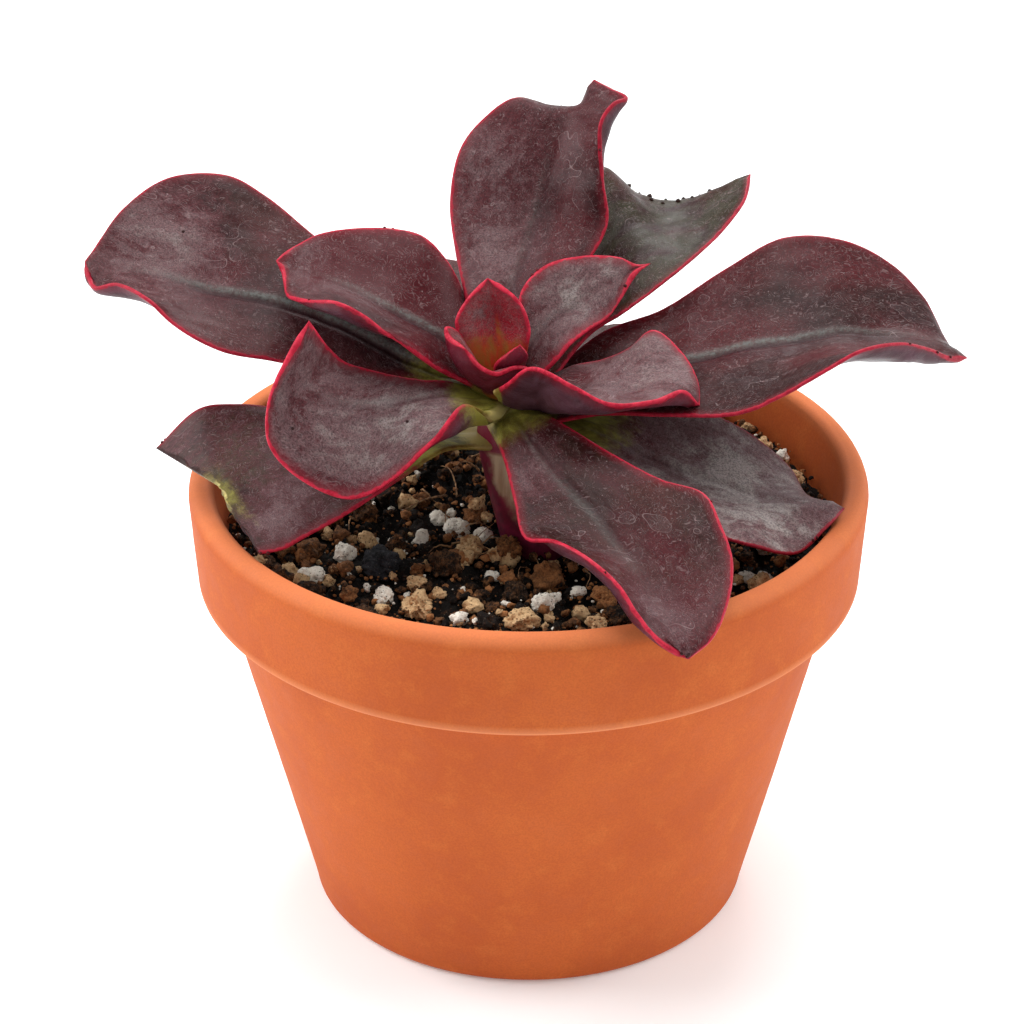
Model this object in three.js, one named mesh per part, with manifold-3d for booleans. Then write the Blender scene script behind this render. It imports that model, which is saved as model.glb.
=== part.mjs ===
// Potted echeveria: a wavy-leaved succulent rosette on a short stem, in a round terracotta pot.
// Millimetres, +Z up. The origin is the centre of the pot's underside, and -Y is the front.

import * as THREE from 'three';
import { mergeVertices } from 'three/addons/utils/BufferGeometryUtils.js';
import Module from 'manifold-3d';

const wasm = await Module();
wasm.setup();

// ---------------------------------------------------------------- driving dimensions

const TURN = 2 * Math.PI;
const GAP = 0.3; // clear space between two pieces that touch
const LEAF_GAP = 0.5; // clear space round a leaf where the next one in would cross it
const WELD = 1e-4; // points of a mesh that are nearer than this are one point
const QUARTER_ROUND = 1 - Math.SQRT1_2; // how far a rounded edge stands in from its corner, over its radius

const POT = {
  height: 103.2,
  baseRadius: 49,
  baseRounding: 2.5,
  shoulderRadius: 68.5, // body just under the collar
  collarBottom: 79.6, // height of the collar's lower edge
  collarBottomRadius: 73.6,
  collarTop: 99.5,
  collarTopRadius: 75,
  rimOuterRadius: 74.4,
  rimInnerRadius: 69.5,
  rimRounding: 1.6,
  rimChamfer: 0.8, // height of the slanted band at the rim's outer edge
  floorThickness: 7,
  floorRadius: 43.5, // inside, at the floor
  drainRadius: 9,
  sides: 56,
};

const SOIL = {
  level: 92.5, // mean height of the surface
  wallRadius: 67.2, // the pot's bore at that height
  wallDip: 3.2, // how far the surface falls at the wall
  edge: 0.9, // clear space between the surface's outline and the bore
  bump: 1.6, // height of the waves
  rings: 5,
  sides: 32,
};

// The soil's surface is the sum of these waves, each its share of the bump. A phase is given as
// its turn in radians for each millimetre along X and along Y, and where it starts.
const WAVES = [
  { share: 0.6, rise: [0.11, 0, 1.3], cross: [0, 0.13, 0.4] },
  { share: 0.4, rise: [0.31, -0.17, 0], cross: [0.08, 0.29, 0] },
];

// The stem leans slightly: each entry is a point on its axis and its radius there.
const STEM = {
  axis: [
    { at: [4, -10, 76], radius: 5.5 },
    { at: [3, -9.5, 84], radius: 8 },
    { at: [2, -9, 93], radius: 8.6 },
    { at: [-1, -8.5, 103], radius: 7.8 },
    { at: [-4, -7.5, 112], radius: 6.8 },
    { at: [-5.5, -7, 119], radius: 5.6 },
    { at: [-5.5, -6.5, 126], radius: 3.4 },
    { at: [-5.5, -6.5, 129], radius: 1.2 },
  ],
  sides: 16,
};

const CROWN = [-5, -7, 118]; // the point that the leaves grow from

const BLADE = {
  stepsAlong: 10,
  stepsAcross: 6,
  middle: 2.6, // thickness over the midrib
  margin: 0.9, // thickness at the edge
  base: 4.2, // thickness over the midrib where the leaf clasps the stem
  baseShare: 0.35, // the share of the length over which the base thins out
  fullness: 0.28, // the most that the thickness may be, over the blade's width there
  end: 0.985, // the tip is cut off square just short of its point
};

// Leaves, from the outermost to the innermost. Each is lofted through rails that run from the crown
// to the tip: its left margin, its midrib and its right margin, as seen from the crown looking out.
// A rail's point is [out, left, up] from the crown, and turn is the leaf's direction in degrees
// round from +X. leftFold and rightFold are further rails, along the ridge or the trough where a
// margin bends away from the blade.
const LEAVES = {
  leaf_low_back: {
    turn: 66,
    left: [[3, 5, -5], [16, 9, -3], [32, 13, -3], [48, 13, -4], [60, 7, -5], [67, 0, -5]],
    rib: [[3, 0, -5], [16, 0, -4], [32, 0, -5], [48, 0, -6], [60, 0, -6], [67, 0, -5]],
    right: [[3, -5, -5], [16, -9, -3], [32, -13, -3], [48, -13, -4], [60, -7, -5], [67, 0, -5]],
  },
  leaf_low_back_left: {
    turn: 105,
    left: [[3, 5, -3], [18, 11, 0], [38, 17, 2], [60, 18, 3], [78, 9, 2], [89, 0, 0]],
    rib: [[3, 0, -3], [18, 0, -1], [38, 0, 0], [60, 0, 1], [78, 0, 1], [89, 0, 0]],
    right: [[3, -5, -3], [18, -10, 0], [38, -16, 2], [60, -17, 4], [78, -9, 3], [89, 0, 0]],
  },
  leaf_torn_left: {
    turn: 207,
    left: [
      [3, 5, -6], [16.5, 5.5, 0.5], [28, 8, -2], [43, 11, -6],
      [53, 10, -10], [57, 9, -12], [62, 7, -13],
    ],
    rib: [
      [3, 0, -6], [18, -3, -1], [29, -7, 0], [42, -9, -2],
      [53, -12, -4], [59, -13, -6], [63, -14, -7.5],
    ],
    right: [
      [3, -5, -5], [16, -14, 1], [29, -21, 3], [41, -26, 2],
      [50, -30, 3], [58, -33, 2.5], [67.5, -36, -6.5],
    ],
  },
  leaf_right_low: {
    turn: 337,
    left: [
      [3, 5, -1], [16, 14, 2], [29, 22, 1], [43.5, 27.5, -4.5],
      [56, 27, -12], [61.5, 22, -15], [67, 18.5, -15], [73.5, 14, -12],
    ],
    rib: [
      [3, 0, -1], [18, 4, 0], [31, 7, -6], [45, 9, -10],
      [58, 10, -12], [65.5, 11.5, -12.5], [70, 12.5, -12.5], [73.5, 14, -12],
    ],
    right: [
      [3, -5, -1], [17, -6, 0], [31, -10, -6], [46, -10, -10],
      [60, -8, -13], [68, -1.5, -16.5], [71.5, 6.5, -14], [73.5, 14, -12],
    ],
  },
  leaf_front: {
    turn: 300,
    left: [
      [3, 4, 2], [16, 4, 7], [30, 8, 5], [43, 13, 3], [54, 17, 3.5],
      [62, 16, 0.5], [70, 14, -4], [77, 8.5, -9], [82, 1.5, -13], [82, -4, -16],
    ],
    rib: [
      [3, 0, 2], [17, -3, 4], [29, -3, 1], [41, -1, -3], [50, -1, -6],
      [58, -1, -8], [67, -2, -11], [75, -3, -12], [80, -4, -14], [82, -4, -16],
    ],
    rightFold: [
      [3, -3, 2], [17.5, -7.5, 3.5], [28.5, -9.5, -1], [37.5, -12.5, -5], [45, -14.5, -4.5],
      [55.5, -13, -4], [64, -11.5, -6], [71, -10, -10.5], [77.5, -8, -13], [82, -4, -16],
    ],
    right: [
      [3, -5, 2], [18, -11, 3], [28, -14, -2], [36.5, -16.5, -6], [47.5, -15, -2],
      [58, -13.5, -1.5], [66.5, -11.5, -4], [73, -10.5, -8.5], [79, -8.5, -12.5], [82, -4, -16],
    ],
  },
  leaf_far_left: {
    turn: 165,
    left: [
      [3, 5, 3], [13, 3, 9], [23, 4, 10], [37, 8, 12], [49, 12, 15], [59, 16, 18],
      [69, 16, 22.5], [76.5, 14, 27.5], [85, 9.5, 28], [91, 7.5, 25.5], [94, 3, 26], [96, -0.5, 27.5],
    ],
    leftFold: [
      [3, 2.5, 3], [13, 1.5, 9], [23.5, 2, 11.5], [37.5, 3.5, 15], [49.5, 7, 17.5], [59.5, 10, 19.5],
      [69.5, 12, 22.5], [76, 11.5, 25], [83.5, 9, 25], [90.5, 6, 24], [93, 4, 25], [96, -0.5, 27.5],
    ],
    rib: [
      [3, 0, 3], [13, 0, 9], [24, 0, 13], [38, -1, 18], [50, -1, 21], [61, -1, 22],
      [71, -1, 23], [78.5, -1, 24.5], [85.5, -1, 25], [91, -1, 26], [94, -0.5, 27], [96, -0.5, 27.5],
    ],
    right: [
      [3, -5, 4], [13, -7, 12], [23, -11, 19], [35, -15, 24], [50, -21.5, 30], [62, -25, 36.5],
      [71, -25, 40.5], [83.5, -21, 40], [91, -12.5, 35.5], [94, -6, 31], [95, -2.5, 29], [96, -0.5, 27.5],
    ],
  },
  leaf_far_right: {
    turn: 6,
    left: [
      [3, 5, 1], [22, 16, 13], [37, 21, 16], [52, 26, 23], [64.5, 27.5, 29], [76.5, 27, 28.5],
      [87.5, 25, 23.5], [95, 19, 17], [98, 10.5, 11.5], [99, 5.5, 10.5], [101.5, 0, 11],
    ],
    rib: [
      [3, 0, 1], [22, 4, 6], [36, 4, 9], [51, 3, 13], [63, 2, 15], [74, 3, 16],
      [82.5, 3.5, 14.5], [88.5, 3.5, 14], [94, 2.5, 13], [98, 1.5, 11.5], [101.5, 0, 11],
    ],
    rightFold: [
      [3, -2.5, 1], [20.5, -2.5, 6], [35, -6, 9], [49, -9, 12], [59.5, -11, 15], [67.5, -14.5, 19],
      [75, -17, 21], [83.5, -12.5, 18.5], [92, -5.5, 14], [97.5, -2, 12], [101.5, 0, 11],
    ],
    right: [
      [3, -5, 1], [19, -9, 6], [34, -16, 8.5], [47.5, -21.5, 11], [56.5, -22, 15], [65, -22, 20],
      [73.5, -20, 24], [82.5, -15, 23], [91, -8.5, 18], [97, -4, 13], [101.5, 0, 11],
    ],
  },
  leaf_upper_right_back: {
    turn: 52,
    left: [
      [3, 6, 4], [28, 16, 15], [46, 21, 22], [60, 20, 27],
      [69, 17, 21], [78, 10, 19], [82, 4, 22], [84.5, -4.5, 31.5],
    ],
    leftFold: [
      [3, 3, 4], [30, 12, 20], [43.5, 16.5, 29.5], [58, 18.5, 35.5],
      [66.5, 14.5, 27], [73, 7.5, 24.5], [79.5, 0, 27.5], [84.5, -4.5, 31.5],
    ],
    rib: [
      [3, 0, 4], [27, 5, 17], [40, 6, 22], [51, 5, 27],
      [60, 2, 25], [69, -1, 25], [78, -3, 28], [84.5, -4.5, 31.5],
    ],
    right: [
      [3, -5, 4], [22, -6, 15], [29, -10, 19], [39, -12, 22],
      [51, -13, 25], [63, -12, 27], [74.5, -10, 30], [84.5, -4.5, 31.5],
    ],
  },
  leaf_tall_back: {
    turn: 97,
    left: [
      [3, 5, 4], [16, 7, 23], [27, 8, 30], [37, 8, 37], [46, 5, 45], [52, 0, 49],
      [56, -8.5, 53], [56.5, -16.5, 50.5], [53.5, -22.5, 51], [51, -24.5, 55], [48, -25.5, 60],
    ],
    rib: [
      [3, 0, 4], [17, -3, 21], [27, -8, 27], [36, -12, 33], [42, -15, 40], [46, -18, 46],
      [48, -20.5, 49.5], [48, -22.5, 52], [48, -24, 54], [48, -25, 57], [48, -25.5, 60],
    ],
    rightFold: [
      [3, -3, 4], [16, -8.5, 22], [24, -16, 27.5], [30, -22, 34], [31.5, -24.5, 41.5], [34.5, -25.5, 48.5],
      [36, -27, 53], [37, -29, 56.5], [38.5, -31, 58.5], [43, -29, 59], [48, -25.5, 60],
    ],
    right: [
      [3, -5, 4], [15, -12, 23], [22, -21, 28], [27.5, -26, 34.5], [31, -25.5, 42.5], [32, -24.5, 50.5],
      [33, -25, 56.5], [35.5, -28, 59.5], [38.5, -31.5, 59.5], [44, -28.5, 59.5], [48, -25.5, 60],
    ],
  },
  leaf_left_front: {
    turn: 200,
    left: [
      [3, 6, 1], [15.5, 16.5, 15.5], [23, 19.5, 10.5], [31.5, 19.5, 2.5], [42, 21, 0],
      [52, 16.5, 4.5], [57, 12, 11], [56, 8.5, 19], [50.5, 6, 28], [44.5, 2, 33.5],
    ],
    rib: [
      [3, 1, 2], [14, 3, 10], [20, 4, 11], [28, 6, 12], [38, 8, 14],
      [45, 8, 17.5], [48, 6.5, 20], [48.5, 5.5, 23.5], [47.5, 4, 28.5], [44.5, 2, 33.5],
    ],
    right: [
      [3, -4, 3], [13, -2, 12], [18, -2, 13], [24, -2, 15], [31, -2, 18],
      [36, -1, 21], [39, -0.5, 24.5], [41, 1, 27.5], [43, 2, 31], [44.5, 2, 33.5],
    ],
  },
  leaf_upper_left: {
    turn: 152,
    left: [
      [3, 5, 6], [9.5, 12.5, 16.5], [15, 21, 26], [19.5, 26, 33], [25, 27.5, 35.5],
      [34.5, 24, 32.5], [44, 17.5, 28.5], [47.5, 13, 29], [49.5, 10.5, 30.5], [51.5, 9.5, 32],
    ],
    leftFold: [
      [3, 3, 6], [10, 9.5, 16.5], [15.5, 21.5, 27], [20.5, 25.5, 31], [26.5, 26, 32.5],
      [35.5, 23, 31], [44.5, 15.5, 28.5], [47.5, 12, 29], [49.5, 10, 30.5], [51.5, 9.5, 32],
    ],
    rib: [
      [3, 0, 6], [12, 3, 17], [20, 6, 22], [26, 8, 25], [33, 8, 27],
      [40, 8, 28], [45.5, 7.5, 28.5], [48.5, 8, 29.5], [50, 8.5, 30.5], [51.5, 9.5, 32],
    ],
    right: [
      [3, -5, 7], [16, -11.5, 22], [20.5, -11, 30.5], [26.5, -11, 35], [34, -9, 36],
      [41.5, -6, 35.5], [48, -3, 34], [50.5, 2, 33], [51.5, 6, 32.5], [51.5, 9.5, 32],
    ],
  },
  leaf_right_mid: {
    turn: 347,
    left: [
      [3, 5, 6], [13, 8.5, 11.5], [19, 11, 12.5], [24.5, 14, 14.5],
      [29, 17, 18], [36, 13, 15.5], [41, 5.5, 13], [43, -1.5, 10.5],
    ],
    rib: [
      [3, 0, 6], [10, 0, 10], [16, -2, 11], [22, -2, 12],
      [28, -2, 12], [33, -1, 13], [39.5, -1, 12.5], [43, -1.5, 10.5],
    ],
    rightFold: [
      [3, -2.5, 6.5], [7, -2.5, 9], [9.5, -2.5, 7], [20, -17, 15],
      [27, -15, 14.5], [34, -10.5, 14], [39.5, -3.5, 12], [43, -1.5, 10.5],
    ],
    right: [
      [3, -4, 7], [3, -11.5, 16], [9.5, -15.5, 22.5], [18.5, -17.5, 20.5],
      [26.5, -16.5, 16.5], [35, -11, 15.5], [40, -3, 14.5], [43, -1.5, 10.5],
    ],
  },
  leaf_right_up: {
    turn: 42,
    left: [
      [1, 3, 9], [8.5, 6, 23], [12, 7.5, 27], [18.5, 7.5, 30],
      [26.5, 5, 30.5], [34.5, 1.5, 29], [38, -1, 27], [40.5, -2.5, 27],
    ],
    rib: [
      [2, 0, 9], [9, 0, 17], [14, 0, 20], [20, -1, 22],
      [26, -1, 24], [32, -1, 25], [37, -1, 26], [40.5, -2.5, 27],
    ],
    right: [
      [3, -4, 9], [9, -7, 15.5], [13, -7, 18], [18, -7, 19.5],
      [24.5, -6, 20], [30, -4.5, 22.5], [35, -3, 26], [40.5, -2.5, 27],
    ],
  },
  leaf_inner_back: {
    turn: 98,
    left: [[0, 3, 9], [2, 9, 19], [3, 10.5, 24], [5, 8, 28], [6.5, 3, 32.5]],
    rib: [[1, 0, 9], [4, 2, 18], [7, 2, 23], [7, 2, 28], [6.5, 3, 32.5]],
    right: [[0, -3, 9], [0, -5, 19], [1, -5.5, 22.5], [3, -3.5, 28], [6.5, 3, 32.5]],
  },
  leaf_inner_front: {
    turn: 232,
    left: [[3, 4, 8], [2.5, 8.5, 16], [2, 8.5, 18], [8.5, 4.5, 17], [10.5, -2.5, 21.5]],
    rib: [[3, 0, 8], [9.5, 3.5, 15], [11, 2.5, 17], [11.5, 0.5, 19], [10.5, -2.5, 21.5]],
    right: [[3, -4, 8], [10.5, -3.5, 21.5], [8.5, -7.5, 25], [10, -9, 22.5], [10.5, -2.5, 21.5]],
  },
  leaf_bud: {
    turn: 320,
    left: [[1, 3, 9], [2.5, 3.5, 14.5], [6, 0, 19.5], [5, -1, 21.5]],
    rib: [[2, 0, 9], [2, -1.5, 15], [5, -2, 18.5], [5, -1, 21.5]],
    right: [[1, -3, 9], [1, -5, 16.5], [3, -3.5, 19.5], [5, -1, 21.5]],
  },
};

// Loose grains on the soil: where each lies, and its size across.
const GRAINS = {
  perlite: [
    { at: [-20, -2], size: 4.5 },
    { at: [-16, -7], size: 6 },
    { at: [-10, -12], size: 4.5 },
    { at: [-8, -28], size: 3.5 },
    { at: [3, -43], size: 5.5 },
    { at: [-31, -39], size: 5.5 },
    { at: [-40, -20], size: 5.5 },
    { at: [-46, -28], size: 4.5 },
  ],
  pumice: [
    { at: [-13, -18], size: 7 },
    { at: [-24, -42], size: 7 },
    { at: [-24, -33], size: 4.5 },
    { at: [-2, -50], size: 6.5 },
    { at: [14, -51], size: 5 },
    { at: [49, -34], size: 5 },
    { at: [54, 32], size: 5 },
    { at: [60, 15], size: 5 },
  ],
  bark: [
    { at: [-18, -27], size: 7.5 },
    { at: [-47, -37], size: 6.5 },
    { at: [-35, -47], size: 6.5 },
    { at: [-3, -36], size: 6 },
  ],
  charcoal: [{ at: [-32, -26], size: 9 }],
};
const GRAIN = {
  squash: 0.8, // height over width
  sink: 0.1, // how far the middle lies above the surface, over the size
  lump: 0.16, // how uneven the surface is, over the radius
  lumpiness: [3, 2.5, 2], // how fast the unevenness changes along X, Y and Z
  detail: 1, // how often each face of the icosahedron is split
};

// ---------------------------------------------------------------- geometry helpers

function point([x, y, z]) {
  return new THREE.Vector3(x, y, z);
}

function weld(geometry) {
  const bare = geometry.clone();
  bare.deleteAttribute('normal');
  bare.deleteAttribute('uv');
  return mergeVertices(bare, WELD);
}

// A closed mesh as a solid for joining and cutting.
function solidOf(geometry) {
  const merged = weld(geometry);
  return new wasm.Manifold(
    new wasm.Mesh({
      numProp: 3,
      vertProperties: new Float32Array(merged.attributes.position.array),
      triVerts: new Uint32Array(merged.index.array),
    }),
  );
}

function geometryOf(solid) {
  const mesh = solid.getMesh();
  const geometry = new THREE.BufferGeometry();
  geometry.setAttribute('position', new THREE.BufferAttribute(new Float32Array(mesh.vertProperties), 3));
  geometry.setIndex(new THREE.BufferAttribute(new Uint32Array(mesh.triVerts), 1));
  geometry.computeVertexNormals();
  return geometry;
}

// Cuts one solid out of another and keeps the largest piece that is left.
function carve(solid, cutter) {
  const bodies = solid.subtract(cutter).decompose();
  return bodies.reduce((best, body) => (body.volume() > best.volume() ? body : best));
}

// A closed skin over rings of points: rings[i][j], capped at both ends by a fan.
function skin(rings) {
  const sides = rings[0].length;
  const positions = rings.flat().flatMap((p) => [p.x, p.y, p.z]);
  const triangles = [];
  for (let i = 0; i + 1 < rings.length; i += 1) {
    for (let j = 0; j < sides; j += 1) {
      const here = i * sides + j;
      const beside = i * sides + ((j + 1) % sides);
      triangles.push(here, beside, beside + sides, here, beside + sides, here + sides);
    }
  }
  for (const [ring, flip] of [[0, true], [rings.length - 1, false]]) {
    const centre = new THREE.Vector3();
    rings[ring].forEach((p) => centre.addScaledVector(p, 1 / sides));
    positions.push(centre.x, centre.y, centre.z);
    const hub = positions.length / 3 - 1;
    for (let j = 0; j < sides; j += 1) {
      const here = ring * sides + j;
      const beside = ring * sides + ((j + 1) % sides);
      triangles.push(...(flip ? [hub, beside, here] : [hub, here, beside]));
    }
  }
  const geometry = new THREE.BufferGeometry();
  geometry.setAttribute('position', new THREE.Float32BufferAttribute(positions, 3));
  geometry.setIndex(triangles);
  geometry.computeVertexNormals();
  return geometry;
}

// ---------------------------------------------------------------- pot, soil and stem

function potGeometry() {
  const round = POT.rimRounding;
  const foot = POT.baseRounding;
  const footShare = foot / POT.collarBottom;
  const outline = [
    [POT.drainRadius, 0],
    [POT.baseRadius - foot, 0],
    [POT.baseRadius - foot * QUARTER_ROUND, foot * QUARTER_ROUND],
    [THREE.MathUtils.lerp(POT.baseRadius, POT.shoulderRadius, footShare), foot],
    [POT.shoulderRadius, POT.collarBottom],
    [POT.collarBottomRadius, POT.collarBottom],
    [POT.collarTopRadius, POT.collarTop],
    [POT.rimOuterRadius, POT.height - POT.rimChamfer],
    [POT.rimOuterRadius - round, POT.height],
    [POT.rimInnerRadius + round, POT.height],
    [POT.rimInnerRadius, POT.height - round],
    [SOIL.wallRadius + GAP, SOIL.level],
    [POT.floorRadius, POT.floorThickness],
    [POT.drainRadius, POT.floorThickness],
    [POT.drainRadius, 0],
  ].map(([radius, height]) => new THREE.Vector2(radius, height));
  return new THREE.LatheGeometry(outline, POT.sides).rotateX(TURN / 4);
}

function phase([perX, perY, start], x, y) {
  return perX * x + perY * y + start;
}

// The height of the soil's surface, in low waves of different lengths.
function soilHeight(x, y) {
  return WAVES.reduce((height, { share, rise, cross }) => {
    const wave = Math.sin(phase(rise, x, y)) * Math.cos(phase(cross, x, y));
    return height + SOIL.bump * share * wave;
  }, SOIL.level);
}

function soilGeometry() {
  const ring = (radius, heightAt) =>
    Array.from({ length: SOIL.sides }, (_, j) => {
      const angle = (j / SOIL.sides) * TURN;
      const x = radius * Math.cos(angle);
      const y = radius * Math.sin(angle);
      return new THREE.Vector3(x, y, heightAt(x, y));
    });
  const floor = POT.floorThickness + GAP;
  const rings = [ring(POT.floorRadius - GAP, () => floor)];
  const wallTop = SOIL.level - SOIL.wallDip;
  const share = (wallTop - floor) / (SOIL.level - floor);
  const wallRadius = THREE.MathUtils.lerp(POT.floorRadius, SOIL.wallRadius, share) - GAP;
  rings.push(ring(wallRadius, () => wallTop));
  for (let i = SOIL.rings; i > 0; i -= 1) {
    const radius = ((SOIL.wallRadius - SOIL.edge) * i) / SOIL.rings;
    rings.push(ring(radius, i === SOIL.rings ? () => wallTop + SOIL.bump : soilHeight));
  }
  return skin(rings);
}

function stemGeometry(extra = 0) {
  const rings = STEM.axis.map(({ at, radius }) =>
    Array.from({ length: STEM.sides }, (_, j) => {
      const angle = (j / STEM.sides) * TURN;
      const reach = radius + extra;
      return new THREE.Vector3(at[0] + reach * Math.cos(angle), at[1] + reach * Math.sin(angle), at[2]);
    }),
  );
  rings[0].forEach((p) => p.setZ(p.z - extra));
  rings[rings.length - 1].forEach((p) => p.setZ(p.z + extra));
  return skin(rings);
}

// A rounded, uneven grain, half sunk in the soil. Each has its own seed, so no two are alike.
function grainGeometry({ at, size }, seed, extra = 0) {
  const [alongX, alongY, alongZ] = GRAIN.lumpiness;
  const geometry = weld(new THREE.IcosahedronGeometry(1, GRAIN.detail));
  const position = geometry.attributes.position;
  const p = new THREE.Vector3();
  for (let i = 0; i < position.count; i += 1) {
    p.fromBufferAttribute(position, i);
    const swell = Math.sin(alongX * p.x + seed) * Math.cos(alongY * p.y - 2 * seed);
    const lump = swell + Math.sin(alongZ * p.z + 3 * seed) / 2;
    p.multiplyScalar((size / 2) * (1 + GRAIN.lump * lump) + extra);
    p.z *= GRAIN.squash;
    position.setXYZ(i, p.x, p.y, p.z);
  }
  geometry.rotateZ(seed);
  geometry.translate(at[0], at[1], soilHeight(at[0], at[1]) + GRAIN.sink * size);
  geometry.computeVertexNormals();
  return geometry;
}

// ---------------------------------------------------------------- leaves

function smoothCurve(points) {
  return new THREE.CatmullRomCurve3(points);
}

// The leaf's middle surface as a grid of points, from base to tip and from left to right.
function bladeGrid(leaf) {
  const rails = [leaf.left, leaf.leftFold, leaf.rib, leaf.rightFold, leaf.right]
    .filter(Boolean)
    .map((rail) => smoothCurve(rail.map(point)));
  const grid = [];
  for (let i = 0; i <= BLADE.stepsAlong; i += 1) {
    const along = (i / BLADE.stepsAlong) * BLADE.end;
    const section = smoothCurve(rails.map((rail) => rail.getPoint(along)));
    const row = [];
    for (let j = 0; j <= BLADE.stepsAcross; j += 1) {
      row.push(section.getPoint(j / BLADE.stepsAcross));
    }
    grid.push(row);
  }
  return grid;
}

// The upward normal of the grid at row i, column j, from its neighbours.
function gridNormal(grid, i, j) {
  const along = new THREE.Vector3().subVectors(
    grid[Math.min(i + 1, grid.length - 1)][j],
    grid[Math.max(i - 1, 0)][j],
  );
  const across = new THREE.Vector3().subVectors(
    grid[i][Math.max(j - 1, 0)],
    grid[i][Math.min(j + 1, grid[i].length - 1)],
  );
  return along.cross(across).normalize();
}

function bladeThickness(row, along, across) {
  const width = row[0].distanceTo(row[row.length - 1]);
  const fromBase = THREE.MathUtils.clamp(1 - along / BLADE.baseShare, 0, 1);
  const middle = THREE.MathUtils.lerp(BLADE.middle, BLADE.base, fromBase * fromBase);
  const fromRib = Math.abs(2 * across - 1);
  return Math.min(THREE.MathUtils.lerp(middle, BLADE.margin, fromRib ** 2), BLADE.fullness * width);
}

// The direction out of the blade at a point of its outline, and nothing inside the outline.
function outward(grid, i, j) {
  const row = grid[i];
  const rowIn = THREE.MathUtils.clamp(i, 1, grid.length - 2);
  const columnIn = THREE.MathUtils.clamp(j, 1, row.length - 2);
  return new THREE.Vector3().subVectors(row[j], grid[rowIn][columnIn]).normalize();
}

// The closed blade: its top face, its underside and the thin edge between them, all of it
// larger by extra when it is the clear space round the blade that is wanted.
function leafGeometry(leaf, extra = 0) {
  const grid = bladeGrid(leaf);
  const rings = grid.map((row, i) => {
    const top = [];
    const underside = [];
    row.forEach((middle, j) => {
      const half = bladeThickness(row, i / BLADE.stepsAlong, j / BLADE.stepsAcross) / 2 + extra;
      const normal = gridNormal(grid, i, j);
      const p = middle.clone().addScaledVector(outward(grid, i, j), extra);
      top.push(p.clone().addScaledVector(normal, half));
      underside.push(p.clone().addScaledVector(normal, -half));
    });
    return [...top, ...underside.reverse()];
  });
  const geometry = skin(rings);
  geometry.rotateZ(THREE.MathUtils.degToRad(leaf.turn));
  geometry.translate(...CROWN);
  return geometry;
}

// ---------------------------------------------------------------- materials

const TERRACOTTA = new THREE.MeshStandardMaterial({ color: 0xd9784a, roughness: 0.85, metalness: 0 });
const POTTING_MIX = new THREE.MeshStandardMaterial({ color: 0x2a1c15, roughness: 1, metalness: 0 });
const STEM_SKIN = new THREE.MeshStandardMaterial({ color: 0xc98f86, roughness: 0.5, metalness: 0 });
const LEAF_SKIN = new THREE.MeshStandardMaterial({ color: 0x5a2c33, roughness: 0.45, metalness: 0 });
const WHITE_GRAIN = new THREE.MeshStandardMaterial({ color: 0xd8d2c6, roughness: 0.9, metalness: 0 });
const TAN_GRAIN = new THREE.MeshStandardMaterial({ color: 0xa88058, roughness: 0.9, metalness: 0 });
const BARK_CHIP = new THREE.MeshStandardMaterial({ color: 0x3a2419, roughness: 1, metalness: 0 });
const CHAR = new THREE.MeshStandardMaterial({ color: 0x26262a, roughness: 0.8, metalness: 0 });

// ---------------------------------------------------------------- assembly

const plant = new THREE.Group();

function addPiece(name, geometry, material) {
  const mesh = new THREE.Mesh(geometry, material);
  mesh.name = name;
  plant.add(mesh);
}

function addGrains(material, kind) {
  return GRAINS[kind].map((grain, i) => {
    const seed = i + kind.length;
    addPiece(`${kind}_${String(i + 1).padStart(2, '0')}`, grainGeometry(grain, seed), material);
    return solidOf(grainGeometry(grain, seed, GAP));
  });
}

addPiece('pot', potGeometry(), TERRACOTTA);

const seats = [
  solidOf(stemGeometry(GAP)),
  ...addGrains(WHITE_GRAIN, 'perlite'),
  ...addGrains(TAN_GRAIN, 'pumice'),
  ...addGrains(BARK_CHIP, 'bark'),
  ...addGrains(CHAR, 'charcoal'),
];
addPiece('soil', geometryOf(seats.reduce(carve, solidOf(soilGeometry()))), POTTING_MIX);

addPiece('stem', stemGeometry(), STEM_SKIN);

// From the innermost leaf out: each leaf's base gives way to the stem and to the leaves inside it.
let taken = solidOf(stemGeometry(GAP));
for (const [name, leaf] of Object.entries(LEAVES).reverse()) {
  addPiece(name, geometryOf(carve(solidOf(leafGeometry(leaf)), taken)), LEAF_SKIN);
  taken = taken.add(solidOf(leafGeometry(leaf, LEAF_GAP)));
}

export default plant;
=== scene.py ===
"""A potted echeveria: the finished surfaces of every piece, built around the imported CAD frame.

Lengths are in millimetres until a mesh is made. The origin is the centre of the pot's underside,
+Z is up and -Y is the front.
"""

import math

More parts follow.
